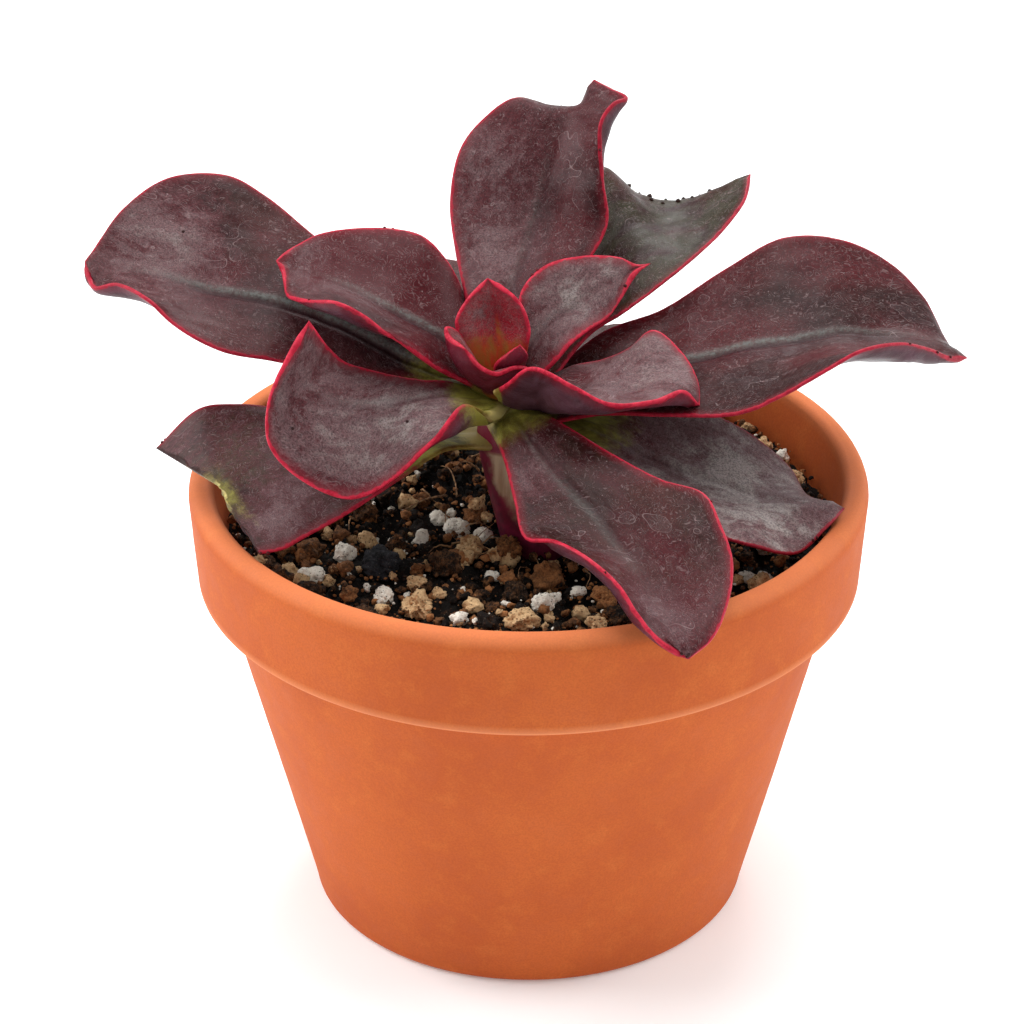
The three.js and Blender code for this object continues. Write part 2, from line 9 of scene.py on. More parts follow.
import bmesh
import bpy
import numpy as np
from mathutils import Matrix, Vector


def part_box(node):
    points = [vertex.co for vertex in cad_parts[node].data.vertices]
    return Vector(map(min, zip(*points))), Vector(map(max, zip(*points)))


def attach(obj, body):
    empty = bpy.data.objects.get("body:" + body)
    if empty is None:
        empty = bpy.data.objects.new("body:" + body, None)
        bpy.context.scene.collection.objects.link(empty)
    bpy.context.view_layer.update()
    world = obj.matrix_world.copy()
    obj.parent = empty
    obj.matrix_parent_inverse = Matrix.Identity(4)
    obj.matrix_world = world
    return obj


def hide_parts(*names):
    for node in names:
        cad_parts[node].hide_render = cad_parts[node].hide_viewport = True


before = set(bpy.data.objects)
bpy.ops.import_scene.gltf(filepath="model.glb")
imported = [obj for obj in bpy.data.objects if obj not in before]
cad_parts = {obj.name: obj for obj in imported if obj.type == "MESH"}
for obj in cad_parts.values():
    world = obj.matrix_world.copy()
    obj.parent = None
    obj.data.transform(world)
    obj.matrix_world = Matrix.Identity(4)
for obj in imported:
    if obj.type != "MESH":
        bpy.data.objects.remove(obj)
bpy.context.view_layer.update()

MM = 0.001
TURN = 2 * math.pi
X, Y, Z = range(3)
UP = np.array([0.0, 0.0, 1.0])

# -------- dimensions

POT = {
    "height": 103.2,
    "base_radius": 49.0,
    "base_rounding": 2.5,
    "base_bulge": 0.3,
    "shoulder_radius": 68.5,
    "collar_bottom": 79.6,
    "collar_bottom_radius": 73.6,
    "collar_edge": 0.9,  # rounding of the collar's lower edge
    "collar_fillet": 0.7,  # rounding where the body meets the collar's underside
    "collar_top_radius": 75.0,
    "rim_outer_rounding": 3.2,
    "rim_inner_rounding": 1.7,
    "rim_inner_radius": 69.5,
    "wall_at_soil": 67.5,
    "floor_radius": 43.5,
    "floor": 7.0,
    "drain_radius": 9.0,
    "sides": 256,
}
# How many points divide each stretch of the pot's outline.
POT_STEPS = {"underside": 6, "body": 40, "collar": 12, "rim": 12, "mouth": 5, "inside": 6}
# A surface is roughened by layers of noise. The clay has long soft waves and faint turning rings,
# which fade out round the drain hole and over its foot.
CLAY_WAVES = (
    {"height": 0.22, "scale": 0.035, "octaves": 1, "seed": 3},
    {"height": 0.04, "scale": (0.03, 0.03, 0.7), "octaves": 2, "seed": 5},
)
CLAY_FADE = {"drain": 2, "base": 8, "foot": (0.5, 6)}
# A highlight painted pale on the clay: over the top of the rim, and in a line along the collar's lower
# edge.
CLAY_HIGHLIGHT = {
    "rim_from": 3.0, "rim_full": 0.6, "rim_share": 0.5,
    "line_height": 0.5, "line_width": 0.7, "line_out": 3,
}

SOIL = {
    "level": 92.5,
    "radius": 67.1,
    "bump": 1.6,
    "rings": 70,
    "sides": 220,
    "sink": 1.4,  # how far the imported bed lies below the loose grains
    "edge_band": 4.0,
    "edge_drop": 1.2,
    "side_gap": 0.4,
    "side_drop": 3.0,
    "floor_gap": 0.3,
    "side_shares": (0.12, 0.4, 0.7, 1.0),
    "tone": -0.25,
}
SOIL_CLODS = (
    {"height": 1.8, "scale": 0.2, "octaves": 4, "seed": 11, "fade": 0.6},
    {"height": 0.8, "scale": 0.9, "octaves": 3, "seed": 21, "fade": 0.6},
)
SOIL_WAVES = (
    {"share": 0.6, "rise": (0.11, 0, 1.3), "cross": (0, 0.13, 0.4)},
    {"share": 0.4, "rise": (0.31, -0.17, 0), "cross": (0.08, 0.29, 0)},
)

# How rough each kind of larger grain is. Their places and sizes come from the CAD nodes.
GRAINS = {"perlite": 0.24, "pumice": 0.4, "bark": 0.3, "charcoal": 0.3}
GRAIN = {
    "large": 5.0, "splits": 4, "large_splits": 5, "scale": 1.6, "octaves": 5, "fade": 0.55,
    "dent": 0.2, "reach": 0.75,
}
# A small grain is narrower than it is long, tilted, and partly sunk in the soil.
LUMP = {
    "scale": 1.5, "octaves": 4, "fade": 0.6, "shift": 50, "narrow": 0.7, "tilt": 0.5, "lie": (-0.1, 0.35),
}
SEED_LIMIT = 100000
SOIL_SEED = 7

# The loose grains that make up one piece each. A piece that is clear keeps off the larger grains.
SCATTERS = {
    "peat_clods": {
        "count": 56, "sizes": (4, 7.5), "splits": 4, "squash": 0.6, "rough": 0.5,
        "stuff": "peat_clod", "slot": "bark", "tones": (-0.3, 0.7), "clear": True,
    },
    "bark_bits": {
        "count": 260, "sizes": (2.2, 4.6), "splits": 3, "squash": 0.5, "rough": 0.5,
        "stuff": "peat_clod", "slot": "potting_mix", "tones": (-0.4, 1.0), "clear": True,
    },
    "coarse_crumbs": {
        "count": 1300, "sizes": (1.1, 2.5), "splits": 2, "squash": 0.5, "rough": 0.45,
        "stuff": "peat_clod", "slot": "potting_mix", "tones": (-0.5, 1.0), "clear": False,
    },
    "dust_crumbs": {
        "count": 2600, "sizes": (0.5, 1.1), "splits": 1, "squash": 0.5, "rough": 0.3,
        "stuff": "peat_clod", "slot": "potting_mix", "tones": (-0.5, 1.3), "clear": False,
    },
    "small_perlite": {
        "count": 150, "sizes": (0.9, 3.8), "splits": 3, "squash": 0.6, "rough": 0.4,
        "stuff": "perlite", "slot": "perlite", "tones": (0, 0), "clear": False,
    },
    "white_flecks": {
        "count": 240, "sizes": (0.5, 1.1), "splits": 1, "squash": 0.5, "rough": 0.3,
        "stuff": "perlite", "slot": "perlite", "tones": (0, 0), "clear": False,
    },
    "small_pumice": {
        "count": 190, "sizes": (1.4, 4.8), "splits": 3, "squash": 0.6, "rough": 0.42,
        "stuff": "pumice", "slot": "pumice", "tones": (0, 0), "clear": False,
    },
}

FIBRES = {
    "count": 40,
    "sides": 6,
    "steps": 14,
    "near_every": 3,
    "near_stem": (10, 26),  # how far out every third one starts
    "from_middle": 12,
    "off_wall": 8,
    "wall_gap": 2,
    "length": (5, 15),
    "radius": (0.12, 0.3),
    "bend": 0.09,
    "wander": 0.12,
    "hump": 1.5,
    "jitter": 0.15,
    "lift": 0.7,
    "taper": 0.6,
}

# Points on the stem's axis, and its radius there.
STEM = (
    ((4, -10, 76), 5.5),
    ((3, -9.5, 84), 8),
    ((2, -9, 93), 8.6),
    ((-1, -8.5, 103), 7.8),
    ((-4, -7.5, 112), 6.8),
    ((-5.5, -7, 119), 5.6),
    ((-5.5, -6.5, 126), 3.4),
    ((-5.5, -6.5, 129), 1.2),
)
STEM_AT_SOIL = 2
STEM_MESH = {"rows": 90, "sides": 64}
# The scar that old leaves left is a low collar, above the magenta foot.
SCAR = {"height": 114.7, "width": 0.9, "rise": 0.5, "lower_edge": 113.9}
STEM_FOLDS = ({"height": 0.25, "scale": (0.35, 0.35, 0.05), "octaves": 1, "seed": 8},)
STEM_FLUSH = {"foot": (94, 108), "left": (0.35, 1.0)}

CROWN = np.array([-5.0, -7.0, 118.0])

BLADE = {
    "middle": 2.6,  # thickness over the midrib
    "margin": 0.8,  # thickness at the rounded edge
    "base": 4.2,  # thickness over the midrib at the crown
    "base_share": 0.35,
    "fullness": 0.28,
    "step": 0.8,  # spacing of the mesh
    "spare_rows": 8,
    "rim": 1.3,  # width of the finely divided band along each margin
    "rims_across": 6,  # a narrow leaf has room for this many of them
    "end": 0.996,  # how far along the rails the last row lies
    "dense": 240,  # divisions across, from which the columns are picked
    "smoothing": 6,
}
RIM_SHARES = (0.0, 0.06, 0.2, 0.42, 0.7, 1.0)  # where the columns of that band lie
# Soft swells in the skin, which fade out within a few millimetres of the margin, and fine ripples.
SWELLS = (
    {"height": 0.4, "scale": 0.09, "octaves": 3, "seed": 0},
    {"height": 0.1, "scale": (0.5, 0.05, 1), "octaves": 2, "seed": 9},
)
RIPPLES = ({"height": 0.05, "scale": 0.45, "octaves": 2, "seed": 5},)
SWELL_MARGIN = 4
# The crease over the midrib, with its keel below. It fades towards the tip and the base.
CREASE = {"depth": 0.7, "keel": 0.35, "width": 1.0, "tip": (4, 40), "base": (3, 12)}
# What is painted beside the crease: powder with a painted sheen on one side of it, a band of painted
# shade on the other, and painted shade in the crease itself.
DUST_AND_SHEEN = {"off": 1.4, "width": 0.9}
CREASE_SHADE = {"width": 0.7, "band_share": 0.5, "band_off": 2.4, "band_width": 1.9}
STRIPE = {"share": 0.75, "width": 1.0, "ends": (12, 22)}
# The green base fades out between these shares of its reach, and the cream one within it.
FOOT = {"olive": (0.4, 1.1), "cream": (0.12, 0.4)}
# The torn leaf's end: how far it is pulled back, and the green flesh that the tear left bare.
TEAR = {
    "from": 0.86, "pull": 0.7, "corners": 0.6, "flesh_at": 0.42, "flesh_width": 0.2, "green": 0.6,
    "green_from": 6.5, "green_to": 2, "pale": 0.8, "pale_from": 0.8, "dark_from": 0.5,
}
TEAR_EDGE = ({"height": 1.4, "scale": 7, "octaves": 4, "seed": 31, "fade": 0.65},)
# A corky bump, as shares of its radius. Where a leaf has many of them, they are larger.
WART = {
    "sides": 6, "radius": (0.3, 0.5), "sink": 0.3, "waist": 0.75, "shoulder": 0.9, "top": 1.5,
    "many": 10, "larger": 1.5, "dark": 0.85, "aside": (0.3, 0.5, 0.8),
}
SEED_STEP = {"swell": 7.3, "paint": 13.7}  # how far apart the leaves' own noise lies

RAILS = ("left", "left_fold", "rib", "right_fold", "right")
# Each leaf is lofted through rails from the crown to the tip, as in the CAD part: a rail's point is
# (out, left, up) from the crown, seen from the crown looking out, and turn is in degrees from +X.
# All the rails of a leaf end at its tip, except those of the torn leaf, which has none.
LEAVES = {
    "leaf_low_back": {
        "turn": 66, "tip": (67, 0, -5),
        "left": [(3, 5, -5), (16, 9, -3), (32, 13, -3), (48, 13, -4), (60, 7, -5)],
        "rib": [(3, 0, -5), (16, 0, -4), (32, 0, -5), (48, 0, -6), (60, 0, -6)],
        "right": [(3, -5, -5), (16, -9, -3), (32, -13, -3), (48, -13, -4), (60, -7, -5)],
    },
    "leaf_low_back_left": {
        "turn": 105, "tip": (89, 0, 0),
        "left": [(3, 5, -3), (18, 11, 0), (38, 17, 2), (60, 18, 3), (78, 9, 2)],
        "rib": [(3, 0, -3), (18, 0, -1), (38, 0, 0), (60, 0, 1), (78, 0, 1)],
        "right": [(3, -5, -3), (18, -10, 0), (38, -16, 2), (60, -17, 4), (78, -9, 3)],
    },
    "leaf_torn_left": {
        "turn": 207,
        "left": [
            (4.5, 4, -3), (16.5, 5.5, 0.5), (28, 8, -2), (43, 11, -6), (53, 10, -10), (57, 9, -12),
            (62, 7, -13),
        ],
        "rib": [
            (2, -1, -3), (18, -3, -1), (29, -7, 0), (42, -9, -2), (53, -12, -4), (59, -13, -6),
            (63, -14, -7.5),
        ],
        "right": [
            (1, -6, -2), (16, -14, 1), (29, -21, 3), (41, -26, 2), (50, -30, 3), (58, -33, 2.5),
            (67.5, -36, -6.5),
        ],
    },
    "leaf_right_low": {
        "turn": 337, "tip": (73.5, 14, -12),
        "left": [
            (2.5, 6.5, 1.5), (16, 14, 2), (29, 22, 1), (43.5, 27.5, -4.5), (56, 27, -12), (61.5, 22, -15),
            (67, 18.5, -15),
        ],
        "rib": [
            (3, 1, 1), (18, 4, 0), (31, 7, -6), (45, 9, -10), (58, 10, -12), (65.5, 11.5, -12.5),
            (70, 12.5, -12.5),
        ],
        "right": [
            (4.5, -4.5, 0.5), (17, -6, 0), (31, -10, -6), (46, -10, -10), (60, -8, -13),
            (68, -1.5, -16.5), (71.5, 6.5, -14),
        ],
    },
    "leaf_front": {
        "turn": 300, "tip": (82, -4, -16),
        "left": [
            (7.5, 4, 5.5), (16, 4, 7), (30, 8, 5), (43, 13, 3), (54, 17, 3.5), (62, 16, 0.5),
            (70, 14, -4), (77, 8.5, -9), (82, 1.5, -13),
        ],
        "rib": [
            (1, 1, 4.5), (17, -3, 4), (29, -3, 1), (41, -1, -3), (50, -1, -6), (58, -1, -8),
            (67, -2, -11), (75, -3, -12), (80, -4, -14),
        ],
        "right_fold": [
            (1.5, -2.5, 3.5), (17.5, -7.5, 3.5), (28.5, -9.5, -1), (37.5, -12.5, -5), (45, -14.5, -4.5),
            (55.5, -13, -4), (64, -11.5, -6), (71, -10, -10.5), (77.5, -8, -13),
        ],
        "right": [
            (2, -6, 2.5), (18, -11, 3), (28, -14, -2), (36.5, -16.5, -6), (47.5, -15, -2),
            (58, -13.5, -1.5), (66.5, -11.5, -4), (73, -10.5, -8.5), (79, -8.5, -12.5),
        ],
    },
    "leaf_far_left": {
        "turn": 165, "tip": (96, -0.5, 27.5),
        "left": [
            (3.5, 2, 7.5), (13, 3, 9), (23, 4, 10), (37, 8, 12), (49, 12, 15), (59, 16, 18),
            (69, 16, 22.5), (76.5, 14, 27.5), (85, 9.5, 28), (91, 7.5, 25.5), (94, 3, 26),
        ],
        "left_fold": [
            (4, 0, 7), (13, 1.5, 9), (23.5, 2, 11.5), (37.5, 3.5, 15), (49.5, 7, 17.5), (59.5, 10, 19.5),
            (69.5, 12, 22.5), (76, 11.5, 25), (83.5, 9, 25), (90.5, 6, 24), (93, 4, 25),
        ],
        "rib": [
            (4, -1.5, 6.5), (13, 0, 9), (24, 0, 13), (38, -1, 18), (50, -1, 21), (61, -1, 22),
            (71, -1, 23), (78.5, -1, 24.5), (85.5, -1, 25), (91, -1, 26), (94, -0.5, 27),
        ],
        "right": [
            (5, -5.5, 5.5), (13, -7, 12), (23, -11, 19), (35, -15, 24), (50, -21.5, 30), (62, -25, 36.5),
            (71, -25, 40.5), (83.5, -21, 40), (91, -12.5, 35.5), (94, -6, 31), (95, -2.5, 29),
        ],
    },
    "leaf_far_right": {
        "turn": 6, "tip": (101.5, 0, 11),
        "left": [
            (3, 5, 1), (22, 16, 13), (37, 21, 16), (52, 26, 23), (64.5, 27.5, 29), (76.5, 27, 28.5),
            (87.5, 25, 23.5), (95, 19, 17), (98, 10.5, 11.5), (99, 5.5, 10.5),
        ],
        "rib": [
            (3, 0, 1), (22, 4, 6), (36, 4, 9), (51, 3, 13), (63, 2, 15), (74, 3, 16), (82.5, 3.5, 14.5),
            (88.5, 3.5, 14), (94, 2.5, 13), (98, 1.5, 11.5),
        ],
        "right_fold": [
            (3, -2.5, 1), (20.5, -2.5, 6), (35, -6, 9), (49, -9, 12), (59.5, -11, 15), (67.5, -14.5, 19),
            (75, -17, 21), (83.5, -12.5, 18.5), (92, -5.5, 14), (97.5, -2, 12),
        ],
        "right": [
            (3, -5, 1), (19, -9, 6), (34, -16, 8.5), (47.5, -21.5, 11), (56.5, -22, 15), (65, -22, 20),
            (73.5, -20, 24), (82.5, -15, 23), (91, -8.5, 18), (97, -4, 13),
        ],
    },
    "leaf_upper_right_back": {
        "turn": 52, "tip": (84.5, -4.5, 31.5),
        "left": [
            (3, 6, 4), (28, 16, 15), (46, 21, 22), (60, 20, 27), (69, 17, 21), (78, 10, 19), (82, 4, 22),
        ],
        "left_fold": [
            (3, 3, 4), (30, 12, 20), (43.5, 16.5, 29.5), (58, 18.5, 35.5), (66.5, 14.5, 27),
            (73, 7.5, 24.5), (79.5, 0, 27.5),
        ],
        "rib": [
            (3, 0, 4), (27, 5, 17), (40, 6, 22), (51, 5, 27), (60, 2, 25), (69, -1, 25), (78, -3, 28),
        ],
        "right": [
            (3, -5, 4), (22, -6, 15), (29, -10, 19), (39, -12, 22), (51, -13, 25), (63, -12, 27),
            (74.5, -10, 30),
        ],
    },
    "leaf_tall_back": {
        "turn": 97, "tip": (48, -25.5, 60),
        "left": [
            (3, 5, 4), (16, 7, 23), (27, 8, 30), (37, 8, 37), (46, 5, 45), (52, 0, 49), (56, -8.5, 53),
            (56.5, -16.5, 50.5), (53.5, -22.5, 51), (51, -24.5, 55),
        ],
        "rib": [
            (3, 0, 4), (17, -3, 21), (27, -8, 27), (36, -12, 33), (42, -15, 40), (46, -18, 46),
            (48, -20.5, 49.5), (48, -22.5, 52), (48, -24, 54), (48, -25, 57),
        ],
        "right_fold": [
            (3, -3, 4), (16, -8.5, 22), (24, -16, 27.5), (30, -22, 34), (31.5, -24.5, 41.5),
            (34.5, -25.5, 48.5), (36, -27, 53), (37, -29, 56.5), (38.5, -31, 58.5), (43, -29, 59),
        ],
        "right": [
            (3, -5, 4), (15, -12, 23), (22, -21, 28), (27.5, -26, 34.5), (31, -25.5, 42.5),
            (32, -24.5, 50.5), (33, -25, 56.5), (35.5, -28, 59.5), (38.5, -31.5, 59.5), (44, -28.5, 59.5),
        ],
    },
    "leaf_left_front": {
        "turn": 200, "tip": (44.5, 2, 33.5),
        "left": [
            (7, 9.5, 6.5), (15.5, 16.5, 15.5), (23, 19.5, 10.5), (31.5, 19.5, 2.5), (42, 21, 0),
            (52, 16.5, 4.5), (57, 12, 11), (56, 8.5, 19), (50.5, 6, 28),
        ],
        "left_fold": [
            (3, 5, 5), (13.5, 14, 10), (21, 19, 10), (30.5, 16, 5), (41, 17, 4), (50, 14, 8.5),
            (54, 10, 14), (53, 7.5, 21), (49, 5, 28),
        ],
        "rib": [
            (-1, 0, 4), (14, 3, 10), (20, 4, 11), (28, 6, 12), (38, 8, 14), (45, 8, 17.5), (48, 6.5, 20),
            (48.5, 5.5, 23.5), (47.5, 4, 28.5),
        ],
        "right": [
            (2.5, -4, 6.5), (13, -2, 12), (18, -2, 13), (24, -2, 15), (31, -2, 18), (36, -1, 21),
            (39, -0.5, 24.5), (41, 1, 27.5), (43, 2, 31),
        ],
    },
    "leaf_upper_left": {
        "turn": 152, "tip": (51.5, 9.5, 32),
        "left": [
            (2.5, 4, 9.5), (9.5, 12.5, 16.5), (15, 21, 26), (19.5, 26, 33), (25, 27.5, 35.5),
            (34.5, 24, 32.5), (44, 17.5, 28.5), (47.5, 13, 29), (49.5, 10.5, 30.5),
        ],
        "left_fold": [
            (3, 2, 8), (10, 9.5, 16.5), (15.5, 21.5, 27), (20.5, 25.5, 31), (26.5, 26, 32.5),
            (35.5, 23, 31), (44.5, 15.5, 28.5), (47.5, 12, 29), (49.5, 10, 30.5),
        ],
        "rib": [
            (3, -0.5, 7), (12, 3, 17), (20, 6, 22), (26, 8, 25), (33, 8, 27), (40, 8, 28),
            (45.5, 7.5, 28.5), (48.5, 8, 29.5), (50, 8.5, 30.5),
        ],
        "right": [
            (3, -5, 7), (16, -11.5, 22), (20.5, -11, 30.5), (26.5, -11, 35), (34, -9, 36),
            (41.5, -6, 35.5), (48, -3, 34), (50.5, 2, 33), (51.5, 6, 32.5),
        ],
    },
    "leaf_right_mid": {
        "turn": 347, "tip": (43, -1.5, 10.5),
        "left": [
            (3, 5, 6), (13, 8.5, 11.5), (19, 11, 12.5), (24.5, 14, 14.5), (29, 17, 18), (36, 13, 15.5),
            (41, 5.5, 13),
        ],
        "rib": [
            (2, 0, 7), (10, 0, 10), (16, -2, 11), (22, -2, 12), (28, -2, 12), (33, -1, 13),
            (39.5, -1, 12.5),
        ],
        "right_fold": [
            (1, -5, 10), (3.5, -5, 8.5), (9.5, -2.5, 7), (20, -17, 15), (27, -15, 14.5), (34, -10.5, 14),
            (39.5, -3.5, 12),
        ],
        "right": [
            (-0.5, -9.5, 12.5), (3, -11.5, 16), (9.5, -15.5, 22.5), (18.5, -17.5, 20.5),
            (26.5, -16.5, 16.5), (35, -11, 15.5), (40, -3, 14.5),
        ],
    },
    "leaf_right_up": {
        "turn": 42, "tip": (40.5, -2.5, 27),
        "left": [
            (1, 3, 9), (8.5, 6, 23), (12, 7.5, 27), (18.5, 7.5, 30), (26.5, 5, 30.5), (34.5, 1.5, 29),
            (38, -1, 27),
        ],
        "rib": [
            (2, 0, 9), (9, 0, 17), (14, 0, 20), (20, -1, 22), (26, -1, 24), (32, -1, 25), (37, -1, 26),
        ],
        "right": [
            (3, -4, 9), (9, -7, 15.5), (13, -7, 18), (18, -7, 19.5), (24.5, -6, 20), (30, -4.5, 22.5),
            (35, -3, 26),
        ],
    },
    "leaf_inner_back": {
        "turn": 98, "tip": (6.5, 3, 32.5),
        "left": [(0, 3, 9), (2, 9, 19), (3, 10.5, 24), (5, 8, 28)],
        "rib": [(1, 0, 9), (4, 2, 18), (7, 2, 23), (7, 2, 28)],
        "right": [(0, -3, 9), (0, -5, 19), (1, -5.5, 22.5), (3, -3.5, 28)],
    },
    "leaf_inner_front": {
        "turn": 232, "tip": (11, -2, 22),
        "left": [(3, 3.5, 8), (0, 6.5, 15.5), (3, 5.5, 17), (6.5, 3.5, 16), (9.5, 1, 18)],
        "rib": [(3, 0, 8), (6.5, 0, 12.5), (8.5, -2, 14.5), (10.5, -3, 18.5)],
        "right": [(3, -3, 8), (6, -5.5, 18.5), (8, -8, 24), (10, -8.5, 25), (11, -7.5, 24)],
    },
    "leaf_bud": {
        "turn": 320, "tip": (5, -1, 21.5),
        "left": [(1, 3, 9), (2.5, 3.5, 14.5), (6, 0, 19.5)],
        "rib": [(2, 0, 9), (2, -1.5, 15), (5, -2, 18.5)],
        "right": [(1, -3, 9), (1, -5, 16.5), (3, -3.5, 19.5)],
    },
}

# How each leaf is coloured: wine is how red its skin is, bloom how much pale wax lies on it, partly a
# painted sheen, green how much of its own green shows, pink how bright its margin is, rim the width of
# that margin, olive how far the green base reaches, dust how much powder lies beside the midrib (on its
# right if below 0), partly a painted sheen, crease how deep the midrib is and stripe where a green
# stripe runs. Each spot is (millimetres to the left of the midrib, from the base, radius, more or less
# bloom); more bloom there is partly a painted sheen, and less is partly a painted shade.
USUAL_LOOK = {"green": 0.0, "dust_and_sheen": 0.0, "crease": 0.45, "bloom_and_light_spots": []}
LOOKS = {
    "leaf_low_back": {"wine": 0.5, "bloom_and_sheen": 0.4, "green": 0.4, "pink": 0.3, "rim": 0.6, "olive": 20},
    "leaf_low_back_left": {"wine": 0.5, "bloom_and_sheen": 0.4, "green": 0.4, "pink": 0.3, "rim": 0.6, "olive": 20},
    "leaf_torn_left": {
        "wine": 0.25, "bloom_and_sheen": 0.55, "green": 0.85, "pink": 0.6, "rim": 0.8, "olive": 38, "dust_and_sheen": 0.3,
        "bloom_and_light_spots": [(0, 60, 9, -0.3), (14, 52, 10, 0.35)],
    },
    "leaf_right_low": {
        "wine": 0.25, "bloom_and_sheen": 1.3, "green": 0.55, "pink": 0.3, "rim": 0.65, "olive": 28, "dust_and_sheen": 0.4,
        "bloom_and_light_spots": [(4, 26, 9, -0.6), (-10, 30, 10, 0.4), (5, 46, 9, 0.8), (-8, 56, 12, 0.6)],
    },
    "leaf_front": {
        "wine": 0.7, "bloom_and_sheen": 0.3, "green": 0.15, "pink": 0.85, "rim": 0.75, "olive": 18, "dust_and_sheen": -0.6,
        "bloom_and_light_spots": [
            (9, 32, 9, -0.4), (5, 50, 14, -0.35), (-6, 26, 7, 0.5), (-3, 74, 8, 0.45), (0, 88, 12, 0.35),
        ],
    },
    "leaf_far_left": {
        "wine": 0.5, "bloom_and_sheen": 0.42, "green": 0.1, "pink": 0.6, "rim": 0.75, "olive": 24, "dust_and_sheen": -0.9,
        "crease": 1.0,
        "bloom_and_light_spots": [(-10, 78, 16, 0.85), (-21, 58, 14, -0.9), (12, 60, 12, -0.25)],
    },
    "leaf_far_right": {
        "wine": 0.5, "bloom_and_sheen": 0.16, "green": 0.05, "pink": 0.6, "rim": 0.75, "olive": 12, "dust_and_sheen": 0.9,
        "crease": 1.0,
        "bloom_and_light_spots": [(14, 30, 12, -0.3), (-14, 56, 12, -0.35), (16, 66, 13, -0.25), (18, 48, 8, 0.2)],
    },
    "leaf_upper_right_back": {
        "wine": 0.1, "bloom_and_sheen": 0.15, "green": 0.6, "pink": 0.6, "rim": 0.7, "olive": 12, "dust_and_sheen": 0.2,
        "bloom_and_light_spots": [(8, 56, 12, 0.15), (-6, 64, 18, -0.5)],
    },
    "leaf_tall_back": {
        "wine": 0.85, "bloom_and_sheen": 0.32, "pink": 0.6, "rim": 0.75, "olive": 6, "dust_and_sheen": 0.5,
        "bloom_and_light_spots": [
            (13, 54, 12, 0.6), (-8, 52, 12, -0.35), (6, 34, 11, 0.6), (6, 18, 12, 0.35),
            (-12, 30, 8, -0.15),
        ],
    },
    "leaf_left_front": {
        "wine": 0.55, "bloom_and_sheen": 0.9, "pink": 1.0, "rim": 1.05, "olive": 20, "dust_and_sheen": -0.7,
        "bloom_and_light_spots": [(-8, 50, 12, -0.1), (6, 28, 10, 0.65), (5, 46, 10, 0.3)],
    },
    "leaf_upper_left": {
        "wine": 0.75, "bloom_and_sheen": 0.15, "pink": 0.85, "rim": 0.9, "olive": 6, "dust_and_sheen": -0.9, "crease": 0.9,
        "bloom_and_light_spots": [(-13, 38, 12, -0.7), (-6, 52, 11, 0.5), (6, 46, 10, 0.3)],
    },
    "leaf_right_mid": {
        "wine": 0.75, "bloom_and_sheen": 0.85, "pink": 1.0, "rim": 1.0, "olive": 3, "dust_and_sheen": 0.3,
        "bloom_and_light_spots": [(8, 30, 12, 0.35), (-4, 24, 8, 0.1), (2, 8, 8, -0.4)],
    },
    "leaf_right_up": {
        "wine": 0.8, "bloom_and_sheen": 0.8, "pink": 0.9, "rim": 0.9, "olive": 6, "dust_and_sheen": 0.8,
        "bloom_and_light_spots": [(4, 25, 11, 0.7), (12, 36, 8, 0.2), (-8, 32, 7, -0.35)],
    },
    "leaf_inner_back": {
        "wine": 1.0, "bloom_and_sheen": 0.3, "pink": 1.0, "rim": 0.7, "olive": 14, "stripe": -1.6,
        "bloom_and_light_spots": [(4, 16, 5, 0.3), (0, 6, 8, -0.4)],
    },
    "leaf_inner_front": {"wine": 0.9, "bloom_and_sheen": 0.35, "pink": 1.0, "rim": 0.7, "olive": 4.5},
    "leaf_bud": {"wine": 1.0, "bloom_and_sheen": 0.05, "pink": 0.8, "rim": 0.45, "olive": 1.5},
}

# Dark corky bumps, as shares of the way (from base to tip, from the left margin to the right one).
WARTS = {
    "leaf_upper_right_back": [
        (0.5, 0.16), (0.53, 0.24), (0.55, 0.14), (0.58, 0.22), (0.6, 0.31), (0.62, 0.25), (0.64, 0.34),
        (0.68, 0.28), (0.71, 0.35), (0.74, 0.27), (0.77, 0.33), (0.8, 0.26), (0.84, 0.3), (0.88, 0.27),
    ],
    "leaf_tall_back": [(0.7, 0.0), (0.74, 0.06), (0.76, 0.02), (0.78, 0.05), (0.5, 1.0)],
    "leaf_far_right": [(0.81, 0.0), (0.74, 1.0), (0.84, 1.0), (0.9, 0.98)],
    "leaf_upper_left": [(0.44, 1.0), (0.46, 0.99), (0.56, 0.02)],
    "leaf_right_up": [(0.78, 0.93), (0.4, 0.0), (0.36, 0.0)],
    "leaf_far_left": [(0.6, 0.66), (0.3, 0.7)],
    "leaf_front": [(0.97, 0.4), (0.985, 0.6), (0.97, 0.8), (0.62, 1.0), (0.48, 0.0)],
    "leaf_left_front": [(0.62, 0.3), (0.3, 0.45)],
    "leaf_torn_left": [(0.985, 0.97), (0.97, 0.99), (0.99, 0.03), (0.95, 0.01)],
    "leaf_right_low": [(0.8, 0.97), (0.82, 0.99)],
}
INNER_LEAVES = ("leaf_inner_back", "leaf_inner_front", "leaf_bud")

# -------- colours, as 0 to 255 screen values

